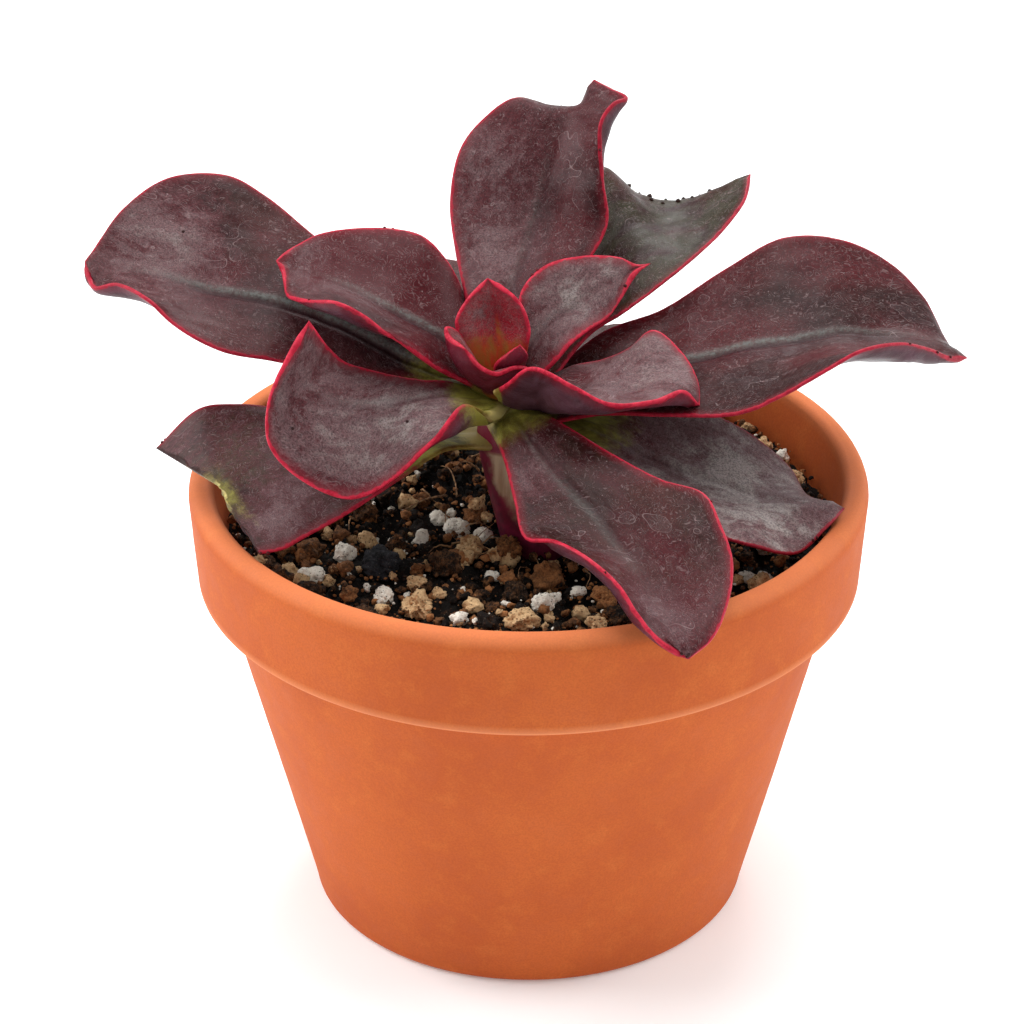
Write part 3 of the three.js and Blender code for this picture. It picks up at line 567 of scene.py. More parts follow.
COLOURS = {
    "clay_deep": (185, 84, 29),
    "clay_warm": (197, 95, 36),
    "clay_pale": (210, 116, 58),
    "clay_grain": (160, 68, 27),
    "clay_speck": (146, 68, 34),
    # A painted highlight on the rim top and along the collar's lower edge.
    "clay_worn": (240, 160, 112),
    # Painted glints on the crumbs.
    "crumb_painted_glint": (205, 185, 160),
    "fibre_dark": (92, 60, 36),
    "fibre_light": (176, 134, 92),
    "stem_shade": (176, 150, 124),
    "stem_cream": (206, 186, 156),
    "stem_plum": (88, 16, 42),
    "stem_magenta": (134, 34, 68),
    "stem_scar": (126, 20, 52),
    "leaf_green": (62, 66, 44),
    # The palest wax, partly a painted sheen.
    "leaf_wax": (158, 148, 144),
    "leaf_pore": (24, 9, 12),
    "dried_pool": (110, 106, 108),
    "fine_mark": (156, 134, 134),
    # Powder beside the midrib, partly a painted sheen.
    "dust_and_sheen": (110, 114, 110),
    # Painted shade in the crease and in a band beside it.
    "groove": (38, 14, 20),
    "margin_glow": (120, 18, 36),
    "margin_dull": (104, 16, 30),
    "margin_deep": (158, 20, 44),
    "margin_bright": (206, 46, 70),
    "cork": (42, 18, 16),
}
# Crumbly stuff turns from dark hollows, partly painted shade, to lighter crumbs between two levels, with
# bright specks that are painted glints.
CRUMBS = {
    "potting_mix": {"dark": (12, 7, 4), "light": (92, 55, 30), "turn": (0.45, 0.75), "glint": 0.4},
    "peat_clod": {"dark": (18, 10, 6), "light": (180, 120, 74), "turn": (0.43, 0.83), "glint": 0.5},
    "bark": {"dark": (18, 11, 7), "light": (140, 96, 62), "turn": (0.42, 0.78), "glint": 0.45},
    "charcoal": {"dark": (20, 20, 23), "light": (72, 72, 78), "turn": (0.4, 0.75), "glint": 0.5},
}
# Porous stone turns from a pale skin to stains between two levels, and has dark pits of painted shade.
STONES = {
    "perlite": {
        "pale": (250, 243, 230), "stain": (188, 164, 134), "pit_shade": (96, 76, 56), "turn": (0.6, 0.8),
    },
    "pumice": {
        "pale": (222, 186, 140), "stain": (146, 96, 54), "pit_shade": (60, 36, 22), "turn": (0.45, 0.68),
    },
}
# A leaf's skin is dark or red, mauve under thin wax and grey under thick wax; the grey and the palest
# wax are partly a painted sheen. Its foot is green, and it clasps the stem with a pale base.
SKINS = {
    "leaf": {
        "dark": (44, 11, 13), "red": (76, 15, 22), "mauve": (84, 42, 46), "grey_wax_and_sheen": (107, 79, 81),
        "foot_dark": (86, 76, 30), "foot_light": (142, 136, 60), "clasp": (196, 180, 112),
        "back_dark": (54, 18, 28), "back_light": (92, 58, 70),
    },
    # The inner leaves are lighter and redder, partly their own colour and partly a painted glow through
    # them.
    "inner_leaf": {
        "dark": (112, 32, 32), "red": (156, 28, 44), "mauve": (140, 88, 90), "grey_wax_and_sheen": (146, 122, 124),
        "foot_dark": (168, 44, 26), "foot_light": (136, 84, 32), "clasp": (184, 120, 58),
        "back_dark": (72, 12, 28), "back_light": (104, 28, 46),
    },
}
WHITE = (1.0, 1.0, 1.0, 1.0)

# -------- camera, floor and lights

# Here lengths are in metres and angles in degrees.
CAMERA = {
    "distance": 0.888,
    "pitch": 28.5,  # below the horizon
    "aim_height": 0.0927,
    "lens": 140.6,
    "sensor": 36.0,
    "shift_x": -0.0164,
    "near": 0.05,
    "far": 50.0,
}
# How far each light is round from the camera and up, how far off and how wide it is, and its watts.
LIGHTS = {
    "key_left": {"around": -100, "up": 34, "distance": 1.1, "size": 0.8, "watts": 9.0},
    "fill_right": {"around": 98, "up": 30, "distance": 1.2, "size": 0.9, "watts": 6.5},
    "top": {"around": 180, "up": 80, "distance": 1.1, "size": 0.8, "watts": 7.5},
    "back": {"around": 168, "up": 38, "distance": 1.3, "size": 0.55, "watts": 4.5},
}
LIGHT_AIM = (0.0, 0.0, 0.09)
# How bright the studio is before and behind the part, and where along Y it turns.
WORLD_LIGHT = {"front": 0.58, "back": 0.7, "turn": (-0.8, 0.5)}
FLOOR = {"size": 6.0, "colour": (0.92, 0.96, 0.965, 1.0), "roughness": 0.95, "glow": 0.15}


def add_object(name, data):
    """A new object in the scene."""
    item = bpy.data.objects.new(name, data)
    bpy.context.scene.collection.objects.link(item)
    return item


def add_camera():
    data = bpy.data.cameras.new("camera")
    data.lens = CAMERA["lens"]
    data.sensor_width = CAMERA["sensor"]
    data.shift_x = CAMERA["shift_x"]
    data.clip_start = CAMERA["near"]
    data.clip_end = CAMERA["far"]
    camera = add_object("camera", data)
    pitch = math.radians(CAMERA["pitch"])
    back = CAMERA["distance"] * math.cos(pitch)
    rise = CAMERA["distance"] * math.sin(pitch)
    camera.location = (0.0, -back, CAMERA["aim_height"] + rise)
    camera.rotation_euler = (TURN / 4 - pitch, 0.0, 0.0)
    bpy.context.scene.camera = camera


def add_light(name, around, up, distance, size, watts):
    data = bpy.data.lights.new(name, "AREA")
    data.shape = "DISK"
    data.size = size
    data.energy = watts
    light = add_object(name, data)
    angle, height = math.radians(around), math.radians(up)
    across = math.cos(height) * distance
    offset = (math.sin(angle) * across, -math.cos(angle) * across, math.sin(height) * distance)
    light.location = np.add(LIGHT_AIM, offset)
    facing = add_object(name + "_aim", None)
    facing.location = LIGHT_AIM
    track = light.constraints.new("TRACK_TO")
    track.target = facing
    track.track_axis = "TRACK_NEGATIVE_Z"
    track.up_axis = "UP_Y"


def add_world():
    world = bpy.data.worlds.new("studio")
    world.use_nodes = True
    nodes, links = world.node_tree.nodes, world.node_tree.links
    direction = nodes.new("ShaderNodeTexCoord")
    parts = nodes.new("ShaderNodeSeparateXYZ")
    ramp = nodes.new("ShaderNodeMapRange")
    ramp.interpolation_type = "SMOOTHSTEP"
    ramp.inputs["From Min"].default_value = WORLD_LIGHT["turn"][0]
    ramp.inputs["From Max"].default_value = WORLD_LIGHT["turn"][1]
    ramp.inputs["To Min"].default_value = WORLD_LIGHT["front"]
    ramp.inputs["To Max"].default_value = WORLD_LIGHT["back"]
    links.new(direction.outputs["Generated"], parts.inputs["Vector"])
    links.new(parts.outputs["Y"], ramp.inputs["Value"])
    links.new(ramp.outputs["Result"], nodes["Background"].inputs["Strength"])
    nodes["Background"].inputs["Color"].default_value = WHITE
    bpy.context.scene.world = world


# -------- numbers and noise


def linear(screen):
    """A colour as shaders take it, from its screen values on the sRGB curve."""
    screen = np.array(screen) / 255
    low = screen / 12.92
    high = ((screen + 0.055) / 1.055) ** 2.4
    return (*np.where(screen <= 0.04045, low, high).tolist(), 1.0)


def paint(name):
    return linear(COLOURS[name])


def ease(value, low, high):
    """0 below low, 1 above high, and smooth between them."""
    share = np.clip((np.asarray(value, float) - low) / (high - low), 0, 1)
    return share * share * (3 - 2 * share)


def bell(value, centre, width):
    """1 at the centre, falling off over about the width to either side."""
    return np.exp(-(((value - centre) / width) ** 2))


# Large odd numbers that stir the bits of a cell's place and of a seed into a random number.
PRIMES = (73856093, 19349663, 83492791)
SEED_PRIME = 2654435761
STIR = 1274126177
LONG, SHORT = 0x7FFFFFFF, 0xFFFF


def lattice(cells, seed):
    """An even random number from 0 to 1 for each cell, the same every time."""
    x, y, z = (cells[..., k].astype(np.int64) * PRIMES[k] for k in range(3))
    mixed = x ^ y ^ z ^ (seed * SEED_PRIME)
    mixed = (mixed ^ (mixed >> 13)) * STIR & LONG
    mixed = (mixed ^ (mixed >> 16)) & SHORT
    return mixed / SHORT


def smooth_noise(points, seed):
    """Value noise from -1 to 1, with one swell per unit."""
    points = np.asarray(points, float)
    cell = np.floor(points)
    share = ease(points - cell, 0, 1)
    total = 0.0
    for corner in range(8):
        offset = np.array([corner & 1, corner >> 1 & 1, corner >> 2 & 1])
        weight = np.prod(np.where(offset == 1, share, 1 - share), axis=-1)
        total = total + weight * lattice(cell + offset, seed)
    return 2 * total - 1


def rough_noise(points, octaves, seed, fade):
    """Several sizes of smooth noise on top of each other, each half the size of the last.

    Each is also weaker than the last, by the fade.
    """
    total, strength = 0.0, 1.0
    for octave in range(octaves):
        total = total + strength * smooth_noise(np.asarray(points) * 2**octave, seed + octave)
        strength *= fade
    return total


def layered(points, layers, seed=0):
    """The sum of layers of rough noise, each with its own height and scale."""
    total = 0.0
    for layer in layers:
        scaled = np.multiply(points, layer["scale"])
        noise = rough_noise(scaled, layer["octaves"], seed + layer["seed"], layer.get("fade", 0.5))
        total = total + layer["height"] * noise
    return total


def curve_points(points, shares):
    """Points of the smooth curve through the given ones, at shares of its spans.

    A centripetal Catmull-Rom curve. Each given point may be a whole row of points.
    """
    points = np.asarray(points, float)
    spans = len(points) - 1
    place = np.asarray(shares, float) * spans
    span = np.minimum(place.astype(int), spans - 1)
    weight = (place - span).reshape(-1, *[1] * (points.ndim - 1))
    before_first = 2 * points[:1] - points[1:2]
    after_last = 2 * points[-1:] - points[-2:-1]
    padded = np.concatenate([before_first, points, after_last])
    before, start, end, after = (padded[span + k] for k in range(4))
    tiny = 1e-4

    def spacing(a, b):
        return np.sum((b - a) ** 2, axis=-1, keepdims=True) ** 0.25

    middle = np.maximum(spacing(start, end), tiny)
    first = np.where(spacing(before, start) < tiny, middle, spacing(before, start))
    last = np.where(spacing(end, after) < tiny, middle, spacing(end, after))
    leave = (start - before) / first - (end - before) / (first + middle) + (end - start) / middle
    arrive = (end - start) / middle - (after - start) / (middle + last) + (after - end) / last
    leave, arrive = leave * middle, arrive * middle
    square = -3 * start + 3 * end - 2 * leave - arrive
    cube = 2 * start - 2 * end + leave + arrive
    return start + leave * weight + square * weight**2 + cube * weight**3


# -------- meshes


TINY = 1e-9  # added to a length, so that one of 0 can be divided by


def unit(vectors):
    return vectors / np.linalg.norm(vectors, axis=-1, keepdims=True)


def circle(sides):
    """Points round a circle of radius 1 in the level plane."""
    angles = np.arange(sides) / sides * TURN
    return np.stack([np.cos(angles), np.sin(angles), np.zeros(sides)], axis=-1)


def hoop(side, above, sides):
    """Points round a circle of radius 1 from the side direction through the one above."""
    around = circle(sides)
    return side[..., None, :] * around[:, :1] + above[..., None, :] * around[:, 1:2]


def turn_matrix(angle, first, second):
    """Turns points by an angle, from the first axis towards the second."""
    matrix = np.eye(3)
    matrix[first, first] = matrix[second, second] = math.cos(angle)
    matrix[second, first] = math.sin(angle)
    matrix[first, second] = -math.sin(angle)
    return matrix


def grid_faces(rows, columns):
    """Four-sided faces between rows of points, each of which is a closed ring."""
    row, column = np.meshgrid(np.arange(rows - 1), np.arange(columns), indexing="ij")
    here = row * columns + column
    beside = row * columns + (column + 1) % columns
    return np.stack([here, beside, beside + columns, here + columns], axis=-1).reshape(-1, 4)


def fan_faces(ring, hub, flip):
    """Triangles from each side of a ring of points to one more point."""
    beside = np.roll(ring, -1)
    order = (beside, ring) if flip else (ring, beside)
    return np.stack([np.full(len(ring), hub), *order], axis=-1)


def tube_faces(rows, sides, reverse=False):
    """The walls and the caps of a tube whose rings are followed by its first and last end points."""
    first = np.arange(sides)
    last = (rows - 1) * sides + first
    hub = rows * sides
    walls = grid_faces(rows, sides)
    caps = [fan_faces(first, hub, not reverse), fan_faces(last, hub + 1, reverse)]
    return walls[:, ::-1] if reverse else walls, np.concatenate(caps)


def make_piece(name, vertices, faces, material, slot, nodes=(), **attributes):
    """A smooth mesh that rides on the part and stands for the named CAD nodes.

    faces is a list of arrays of three-sided or four-sided faces. Each attribute holds a number or
    a triple for each vertex.
    """
    mesh = bpy.data.meshes.new(name)
    corners = np.concatenate([block.ravel() for block in faces])
    sizes = np.concatenate([np.full(len(block), block.shape[1]) for block in faces])
    mesh.vertices.add(len(vertices))
    mesh.vertices.foreach_set("co", (np.asarray(vertices) * MM).astype(np.float32).ravel())
    mesh.loops.add(len(corners))
    mesh.loops.foreach_set("vertex_index", corners.astype(np.int32))
    mesh.polygons.add(len(sizes))
    mesh.polygons.foreach_set("loop_start", (np.cumsum(sizes) - sizes).astype(np.int32))
    mesh.update(calc_edges=True)
    mesh.polygons.foreach_set("use_smooth", np.ones(len(sizes), bool))
    for key, values in attributes.items():
        values = np.asarray(values, np.float32)
        single = values.ndim == 1
        attribute = mesh.attributes.new(key, "FLOAT" if single else "FLOAT_VECTOR", "POINT")
        attribute.data.foreach_set("value" if single else "vector", values.ravel())
    mesh.materials.append(material)
    piece = add_object(name, mesh)
    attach(piece, "root")
    if nodes:
        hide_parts(*nodes)


# -------- shader nodes

# Where a mix node has its two colours, and where it gives the mixed one.
MIX_FIRST, MIX_SECOND, MIX_OUT = 6, 7, 2


class Shader:
    """A material's node tree, with one short call for each kind of node that is used here."""

    def __init__(self, name):
        self.material = bpy.data.materials.new(name)
        self.material.use_nodes = True
        self.tree = self.material.node_tree
        self.surface = self.tree.nodes["Principled BSDF"]

    def fill(self, socket, value):
        if isinstance(value, bpy.types.NodeSocket):
            self.tree.links.new(value, socket)
        elif value is not None:
            socket.default_value = value

    def add(self, kind, inputs, output=0, **settings):
        node = self.tree.nodes.new(kind)
        for key, value in settings.items():
            setattr(node, key, value)
        for key, value in inputs.items():
            self.fill(node.inputs[key], value)
        return node.outputs[output]

    def attribute(self, name, output="Fac"):
        return self.add("ShaderNodeAttribute", {}, output, attribute_name=name)

    def triple(self, name):
        """The three numbers of a vector attribute."""
        vector = self.attribute(name, "Vector")
        return self.add("ShaderNodeSeparateXYZ", {"Vector": vector}).node.outputs

    def place(self):
        """Where a point is in the part, in millimetres."""
        metres = self.add("ShaderNodeTexCoord", {}, "Object")
        return self.stretch(metres, (1 / MM, 1 / MM, 1 / MM))

    def stretch(self, vector, scale=(1, 1, 1), shift=(0, 0, 0)):
        return self.add("ShaderNodeMapping", {"Vector": vector, "Scale": scale, "Location": shift})

    def noise(self, vector, scale, detail, roughness=0.5, distortion=0.0):
        inputs = {"Vector": vector, "Scale": scale, "Detail": detail}
        inputs.update({"Roughness": roughness, "Distortion": distortion})
        return self.add("ShaderNodeTexNoise", inputs, "Fac")

    def cells(self, vector, scale):
        """The distance to the nearest of many scattered points."""
        return self.add("ShaderNodeTexVoronoi", {"Vector": vector, "Scale": scale}, "Distance")

    def maths(self, operation, first, second=None):
        return self.add("ShaderNodeMath", {0: first, 1: second}, operation=operation)

    def times(self, first, second):
        return self.maths("MULTIPLY", first, second)

    def plus(self, first, second):
        return self.maths("ADD", first, second)

    def larger(self, first, second):
        return self.maths("MAXIMUM", first, second)

    def inverse(self, value):
        return self.maths("SUBTRACT", 1.0, value)

    def between(self, value, low, high, start=0.0, end=1.0):
        """start below low, end above high, and smooth between them."""
        inputs = {"Value": value, "From Min": low, "From Max": high, "To Min": start, "To Max": end}
        return self.add("ShaderNodeMapRange", inputs, interpolation_type="SMOOTHSTEP")

    def ridge(self, value, centre, width):
        """1 where value is at centre, falling to 0 at width to either side."""
        away = self.maths("ABSOLUTE", self.maths("SUBTRACT", value, centre))
        return self.between(away, 0.0, width, 1.0, 0.0)

    def mix(self, share, first, second):
        inputs = {"Factor": share, MIX_FIRST: first, MIX_SECOND: second}
        return self.add("ShaderNodeMix", inputs, MIX_OUT, data_type="RGBA")

    def cover(self, colour, share, name):
        """A colour with a share of a named one over it."""
        return self.mix(share, colour, paint(name))

    def bump(self, height, distance_mm, strength):
        inputs = {"Height": height, "Distance": distance_mm * MM, "Strength": strength}
        return self.add("ShaderNodeBump", inputs)

    def finish(self, colour, roughness, normal=None, **fixed):
        """Sets the surface. The fixed values are the same all over, so they go straight on it."""
        self.fill(self.surface.inputs["Base Color"], colour)
        self.fill(self.surface.inputs["Roughness"], roughness)
        self.fill(self.surface.inputs["Normal"], normal)
        for key, value in fixed.items():
            self.surface.inputs[key.replace("_", " ")].default_value = value
        return self.material


# -------- materials

# A noise has its scale per millimetre, and each change of colour is spread between two levels of a
# noise. Nearly all of a noise lies between the two levels of the span.
SPAN = (0.3, 0.7)


def floor_material():
    shader = Shader("pale_floor")
    return shader.finish(
        FLOOR["colour"], FLOOR["roughness"], Emission_Color=WHITE, Emission_Strength=FLOOR["glow"]
    )


def terracotta_material():
    """Fired clay: cloudy patches, a fine grain, faint turning lines and painted highlights on its edges.
    """
    shader = Shader("terracotta")
    place = shader.place()
    clouds = shader.noise(place, scale=0.035, detail=4.0, roughness=0.55)
    patches = shader.noise(place, scale=0.16, detail=5.0, roughness=0.6)
    grain = shader.noise(place, scale=2.2, detail=3.0, roughness=0.6)
    rings = shader.noise(shader.stretch(place, (0.02, 0.02, 1.1)), scale=1.0, detail=3.0, roughness=0.6)
    specks_and_glints = shader.cells(place, scale=0.55)
    colour = shader.mix(shader.between(clouds, *SPAN), paint("clay_deep"), paint("clay_warm"))
    colour = shader.cover(colour, shader.between(patches, 0.45, 0.75, end=0.4), "clay_pale")
    colour = shader.cover(colour, shader.between(grain, 0.35, 0.65, start=0.34, end=0.0), "clay_grain")
    colour = shader.cover(colour, shader.between(specks_and_glints, 0.04, 0.12, start=0.3, end=0.0), "clay_speck")
    # A painted highlight over the rim top and along the collar's lower edge.
    worn = shader.times(shader.attribute("worn"), 0.45)
    colour = shader.cover(colour, worn, "clay_worn")
    height = shader.plus(shader.times(grain, 0.5), shader.times(rings, 0.5))
    normal = shader.bump(height, distance_mm=0.12, strength=0.5)
    rough = shader.between(patches, *SPAN, start=0.72, end=0.86)
    return shader.finish(colour, rough, normal, Specular_IOR_Level=0.32)


def crumb_material(name, dark, light, turn, glint):
    """Something crumbly: dark hollows, partly painted shade, lighter crumbs and a few painted glints."""
    shader = Shader(name)
    place = shader.place()
    lumps = shader.noise(place, scale=0.55, detail=6.0, roughness=0.7)
    crumbs = shader.noise(place, scale=2.4, detail=4.0, roughness=0.7)
    level = shader.plus(shader.times(lumps, 0.6), shader.times(crumbs, 0.4))
    level = shader.plus(level, shader.times(shader.attribute("tone"), 0.25))
    # The dark end is the soil's own dark colour, deepened by painted shade in the hollows.
    colour = shader.mix(shader.between(level, *turn), linear(dark), linear(light))
    # Bright specks: painted glints on the crumbs.
    specks_and_glints = shader.cells(place, scale=1.6)
    colour = shader.cover(colour, shader.between(specks_and_glints, 0.05, 0.13, start=glint, end=0.0), "crumb_painted_glint")
    pores = shader.cells(place, scale=1.1)
    height = shader.plus(shader.times(crumbs, 0.6), shader.times(pores, 0.6))
    normal = shader.bump(height, distance_mm=0.5, strength=0.9)
    return shader.finish(colour, roughness=0.8, normal=normal, Specular_IOR_Level=0.2)


def stone_material(name, pale, stain, pit_shade, turn):
    """A light porous stone: pale skin, brown stains in patches and dark pits of painted shade."""
    shader = Shader(name)
    place = shader.place()
    stains = shader.noise(place, scale=0.32, detail=5.0, roughness=0.65)
    fine = shader.noise(place, scale=3.0, detail=4.0, roughness=0.65)
    pores = shader.cells(place, scale=1.3)
    colour = shader.mix(shader.between(stains, *turn), linear(pale), linear(stain))
    colour = shader.mix(shader.between(fine, 0.35, 0.6, start=0.35, end=0.0), colour, linear(stain))
    # Painted shade in the pits.
    colour = shader.mix(shader.between(pores, 0.1, 0.28, start=0.8, end=0.0), colour, linear(pit_shade))
    height = shader.plus(shader.between(pores, 0.1, 0.4), shader.times(fine, 0.6))
    normal = shader.bump(height, distance_mm=0.35, strength=0.8)
    return shader.finish(colour, roughness=0.88, normal=normal, Specular_IOR_Level=0.3)


def fibre_material():
    """A dry root: brown, streaked with tan."""
    shader = Shader("root_fibre")
    streaks = shader.noise(shader.place(), scale=0.9, detail=4.0, roughness=0.6)
    share = shader.between(streaks, 0.35, 0.65)
    colour = shader.mix(share, paint("fibre_dark"), paint("fibre_light"))
    normal = shader.bump(streaks, distance_mm=0.2, strength=0.6)
    return shader.finish(colour, roughness=0.8, normal=normal)


def stem_material():
    """Cream skin, flushed magenta on the sides and at the foot, with a leaf scar under the crown."""
    shader = Shader("stem_skin")
    place = shader.place()
    veins = shader.noise(shader.stretch(place, (1.0, 1.0, 0.12)), scale=0.9, detail=4.0, roughness=0.6)
    blotches = shader.noise(place, scale=0.3, detail=4.0, roughness=0.6)
    cream = shader.mix(shader.between(veins, *SPAN), paint("stem_shade"), paint("stem_cream"))
    magenta = shader.mix(shader.between(blotches, *SPAN), paint("stem_plum"), paint("stem_magenta"))
    share = shader.plus(shader.attribute("flush"), shader.between(blotches, *SPAN, start=-0.18, end=0.18))
    colour = shader.mix(shader.between(share, 0.12, 0.75), cream, magenta)
    colour = shader.cover(colour, shader.attribute("scar"), "stem_scar")
    normal = shader.bump(veins, distance_mm=0.15, strength=0.4)
    return shader.finish(colour, roughness=0.42, normal=normal, Subsurface_Weight=0.1)


def leaf_material(name, skin):
    """Fleshy skin with a waxy bloom, fine marks, a dusty midrib and a bright translucent margin. The
    bloom and the powder beside the midrib are partly a painted sheen, and its crease a painted shade.

    The blade attribute is (millimetres from the midrib, millimetres from the base, the leaf's own
    number), and edge is the distance from the margin over the width of its coloured rim.
    """
    skin = {key: linear(screen) for key, screen in skin.items()}
    shader = Shader(name)
    blade = shader.attribute("blade", "Vector")
    wine, pink, green = shader.triple("look")
    olive, cream, dust_and_sheen = shader.triple("zone")

    # The skin: dark and red in slow drifts, green in places, and a pale bloom in cloudy patches, which is
    # partly a painted sheen.
    drift = shader.noise(shader.stretch(blade, (0.06, 0.03, 1)), scale=1.0, detail=3.0, roughness=0.5)
    patch_place = shader.stretch(blade, (0.2, 0.11, 1))
    patches = shader.noise(patch_place, scale=1.0, detail=5.0, roughness=0.65, distortion=0.5)
    clouds = shader.noise(blade, scale=0.5, detail=6.0, roughness=0.7)
    grain = shader.noise(blade, scale=2.8, detail=3.0, roughness=0.7)
    redness = shader.plus(wine, shader.between(drift, *SPAN, start=-0.6, end=0.6))
    colour = shader.mix(shader.between(redness, 0.0, 1.0), skin["dark"], skin["red"])
    greenish = shader.times(green, shader.between(patches, 0.32, 0.62))
    colour = shader.cover(colour, greenish, "leaf_green")
    patchy = shader.between(patches, 0.32, 0.68, start=0.55, end=1.25)
    # The bloom is partly real wax and partly a painted sheen. Where there is less of it, that is partly a
    # painted shade.
    bloom_and_sheen = shader.times(shader.attribute("wax"), patchy)
    bloom_and_sheen = shader.plus(bloom_and_sheen, shader.between(clouds, 0.32, 0.7, start=-0.2, end=0.2))
    colour = shader.mix(shader.between(bloom_and_sheen, 0.0, 0.7), colour, skin["mauve"])
    # The grey and the palest stages are wax with a painted sheen.
    colour = shader.mix(shader.between(bloom_and_sheen, 0.5, 1.0, end=0.9), colour, skin["grey_wax_and_sheen"])
    colour = shader.cover(colour, shader.between(bloom_and_sheen, 1.0, 2.2, end=0.9), "leaf_wax")
    colour = shader.cover(colour, shader.between(grain, 0.34, 0.6, start=0.6, end=0.0), "leaf_pore")

    # Fine broken lines like a fingerprint's, drops' dried outlines, and specks.
    swirl_place = shader.stretch(blade, (1, 0.7, 1))
    swirl = shader.noise(swirl_place, scale=0.5, detail=1.0, roughness=0.4, distortion=1.0)
    lines = shader.maths("PINGPONG", shader.times(swirl, 9.0), 0.5)
    broken = shader.noise(shader.stretch(blade, shift=(31, 17, 5)), scale=0.8, detail=3.0, roughness=0.6)
    prints = shader.times(shader.between(lines, 0.32, 0.48), shader.between(broken, 0.36, 0.62))
    drop_place = shader.stretch(blade, (1, 0.8, 1), (11, 5, 3))
    drops = shader.noise(drop_place, scale=0.17, detail=1.0, roughness=0.4, distortion=0.3)
    wet = shader.noise(shader.stretch(blade, shift=(2, 29, 8)), scale=0.06, detail=1.0)
    dried = shader.between(wet, 0.5, 0.56)
    rings = shader.times(shader.ridge(drops, centre=0.6, width=0.005), dried)
    pools = shader.times(shader.between(drops, 0.6, 0.607), dried)
    dots = shader.between(shader.cells(blade, scale=0.5), 0.05, 0.1, start=1.0, end=0.0)
    specks_and_glints = shader.times(dots, shader.between(shader.noise(blade, scale=0.3, detail=1.0), 0.5, 0.6))
    marks = shader.larger(shader.times(prints, 0.3), shader.times(rings, 0.5))
    marks = shader.larger(marks, shader.times(specks_and_glints, 0.6))
    colour = shader.cover(colour, shader.times(pools, 0.06), "dried_pool")
    colour = shader.cover(colour, marks, "fine_mark")

    # The midrib: a blue-grey stripe of powder, partly a painted sheen, beside a crease of painted shade.
    powder_and_sheen = shader.noise(blade, scale=1.1, detail=4.0, roughness=0.7)
    powder_and_sheen = shader.between(powder_and_sheen, 0.38, 0.62, start=0.4, end=0.95)
    colour = shader.cover(colour, shader.times(dust_and_sheen, powder_and_sheen), "dust_and_sheen")
    # Painted shade in the crease and in the band beside it.
    colour = shader.cover(colour, shader.times(shader.attribute("groove"), 0.75), "groove")

    # The base: olive, then cream where the leaf clasps the stem.
    wander = shader.between(clouds, *SPAN, start=-0.16, end=0.16)
    olive_share = shader.between(shader.plus(olive, wander), 0.15, 0.85)
    foot = shader.mix(shader.between(patches, 0.35, 0.65), skin["foot_dark"], skin["foot_light"])
    colour = shader.mix(olive_share, colour, foot)
    cream_share = shader.between(shader.plus(cream, wander), 0.3, 0.9)
    colour = shader.mix(cream_share, colour, skin["clasp"])

    # The underside is purplish, and smoother.
    back = shader.mix(shader.between(patches, *SPAN), skin["back_dark"], skin["back_light"])
    back = shader.mix(olive_share, back, skin["foot_light"])
    colour = shader.mix(shader.times(shader.attribute("under"), 0.85), colour, back)

    # The margin: a bright rim and a crimson glow inside it, both weak along the green base.
    edge = shader.plus(shader.attribute("edge"), shader.between(clouds, *SPAN, start=-0.4, end=0.4))
    strength = shader.times(pink, shader.inverse(shader.times(olive_share, 0.85)))
    glow = shader.times(shader.between(edge, 0.5, 3.4, start=0.6, end=0.0), strength)
    colour = shader.cover(colour, glow, "margin_glow")
    rim = shader.between(edge, 0.45, 0.95, start=1.0, end=0.0)
    rim = shader.times(rim, shader.inverse(shader.times(olive_share, 0.75)))
    bright = shader.mix(
        shader.between(clouds, 0.35, 0.65), paint("margin_deep"), paint("margin_bright")
    )
    colour = shader.mix(rim, colour, shader.mix(strength, paint("margin_dull"), bright))
    colour = shader.cover(colour, shader.attribute("mark"), "cork")

    height = shader.plus(shader.times(grain, 0.35), shader.times(prints, 0.35))
    height = shader.plus(height, shader.times(clouds, 0.7))
    normal = shader.bump(height, distance_mm=0.2, strength=0.6)
    rough = shader.between(bloom_and_sheen, 0.0, 0.9, start=0.32, end=0.46)
    flesh = {"Subsurface_Weight": 0.05, "Subsurface_Scale": 0.0012}
    return shader.finish(colour, rough, normal, Specular_IOR_Level=0.13, **flesh)


# -------- pot


def arc(centre, radius, start, end, steps=8):
    """Points on a quarter turn or so of a circle, in degrees."""
    angles = np.radians(np.linspace(start, end, steps))
    return [(centre[0] + radius * math.cos(a), centre[1] + radius * math.sin(a)) for a in angles]


def straight(start, end, steps):
    """Points on a line, without its two ends."""
    shares = np.linspace(0, 1, steps + 2)[1:-1]
    return [tuple(np.add(np.multiply(start, 1 - s), np.multiply(end, s))) for s in shares]


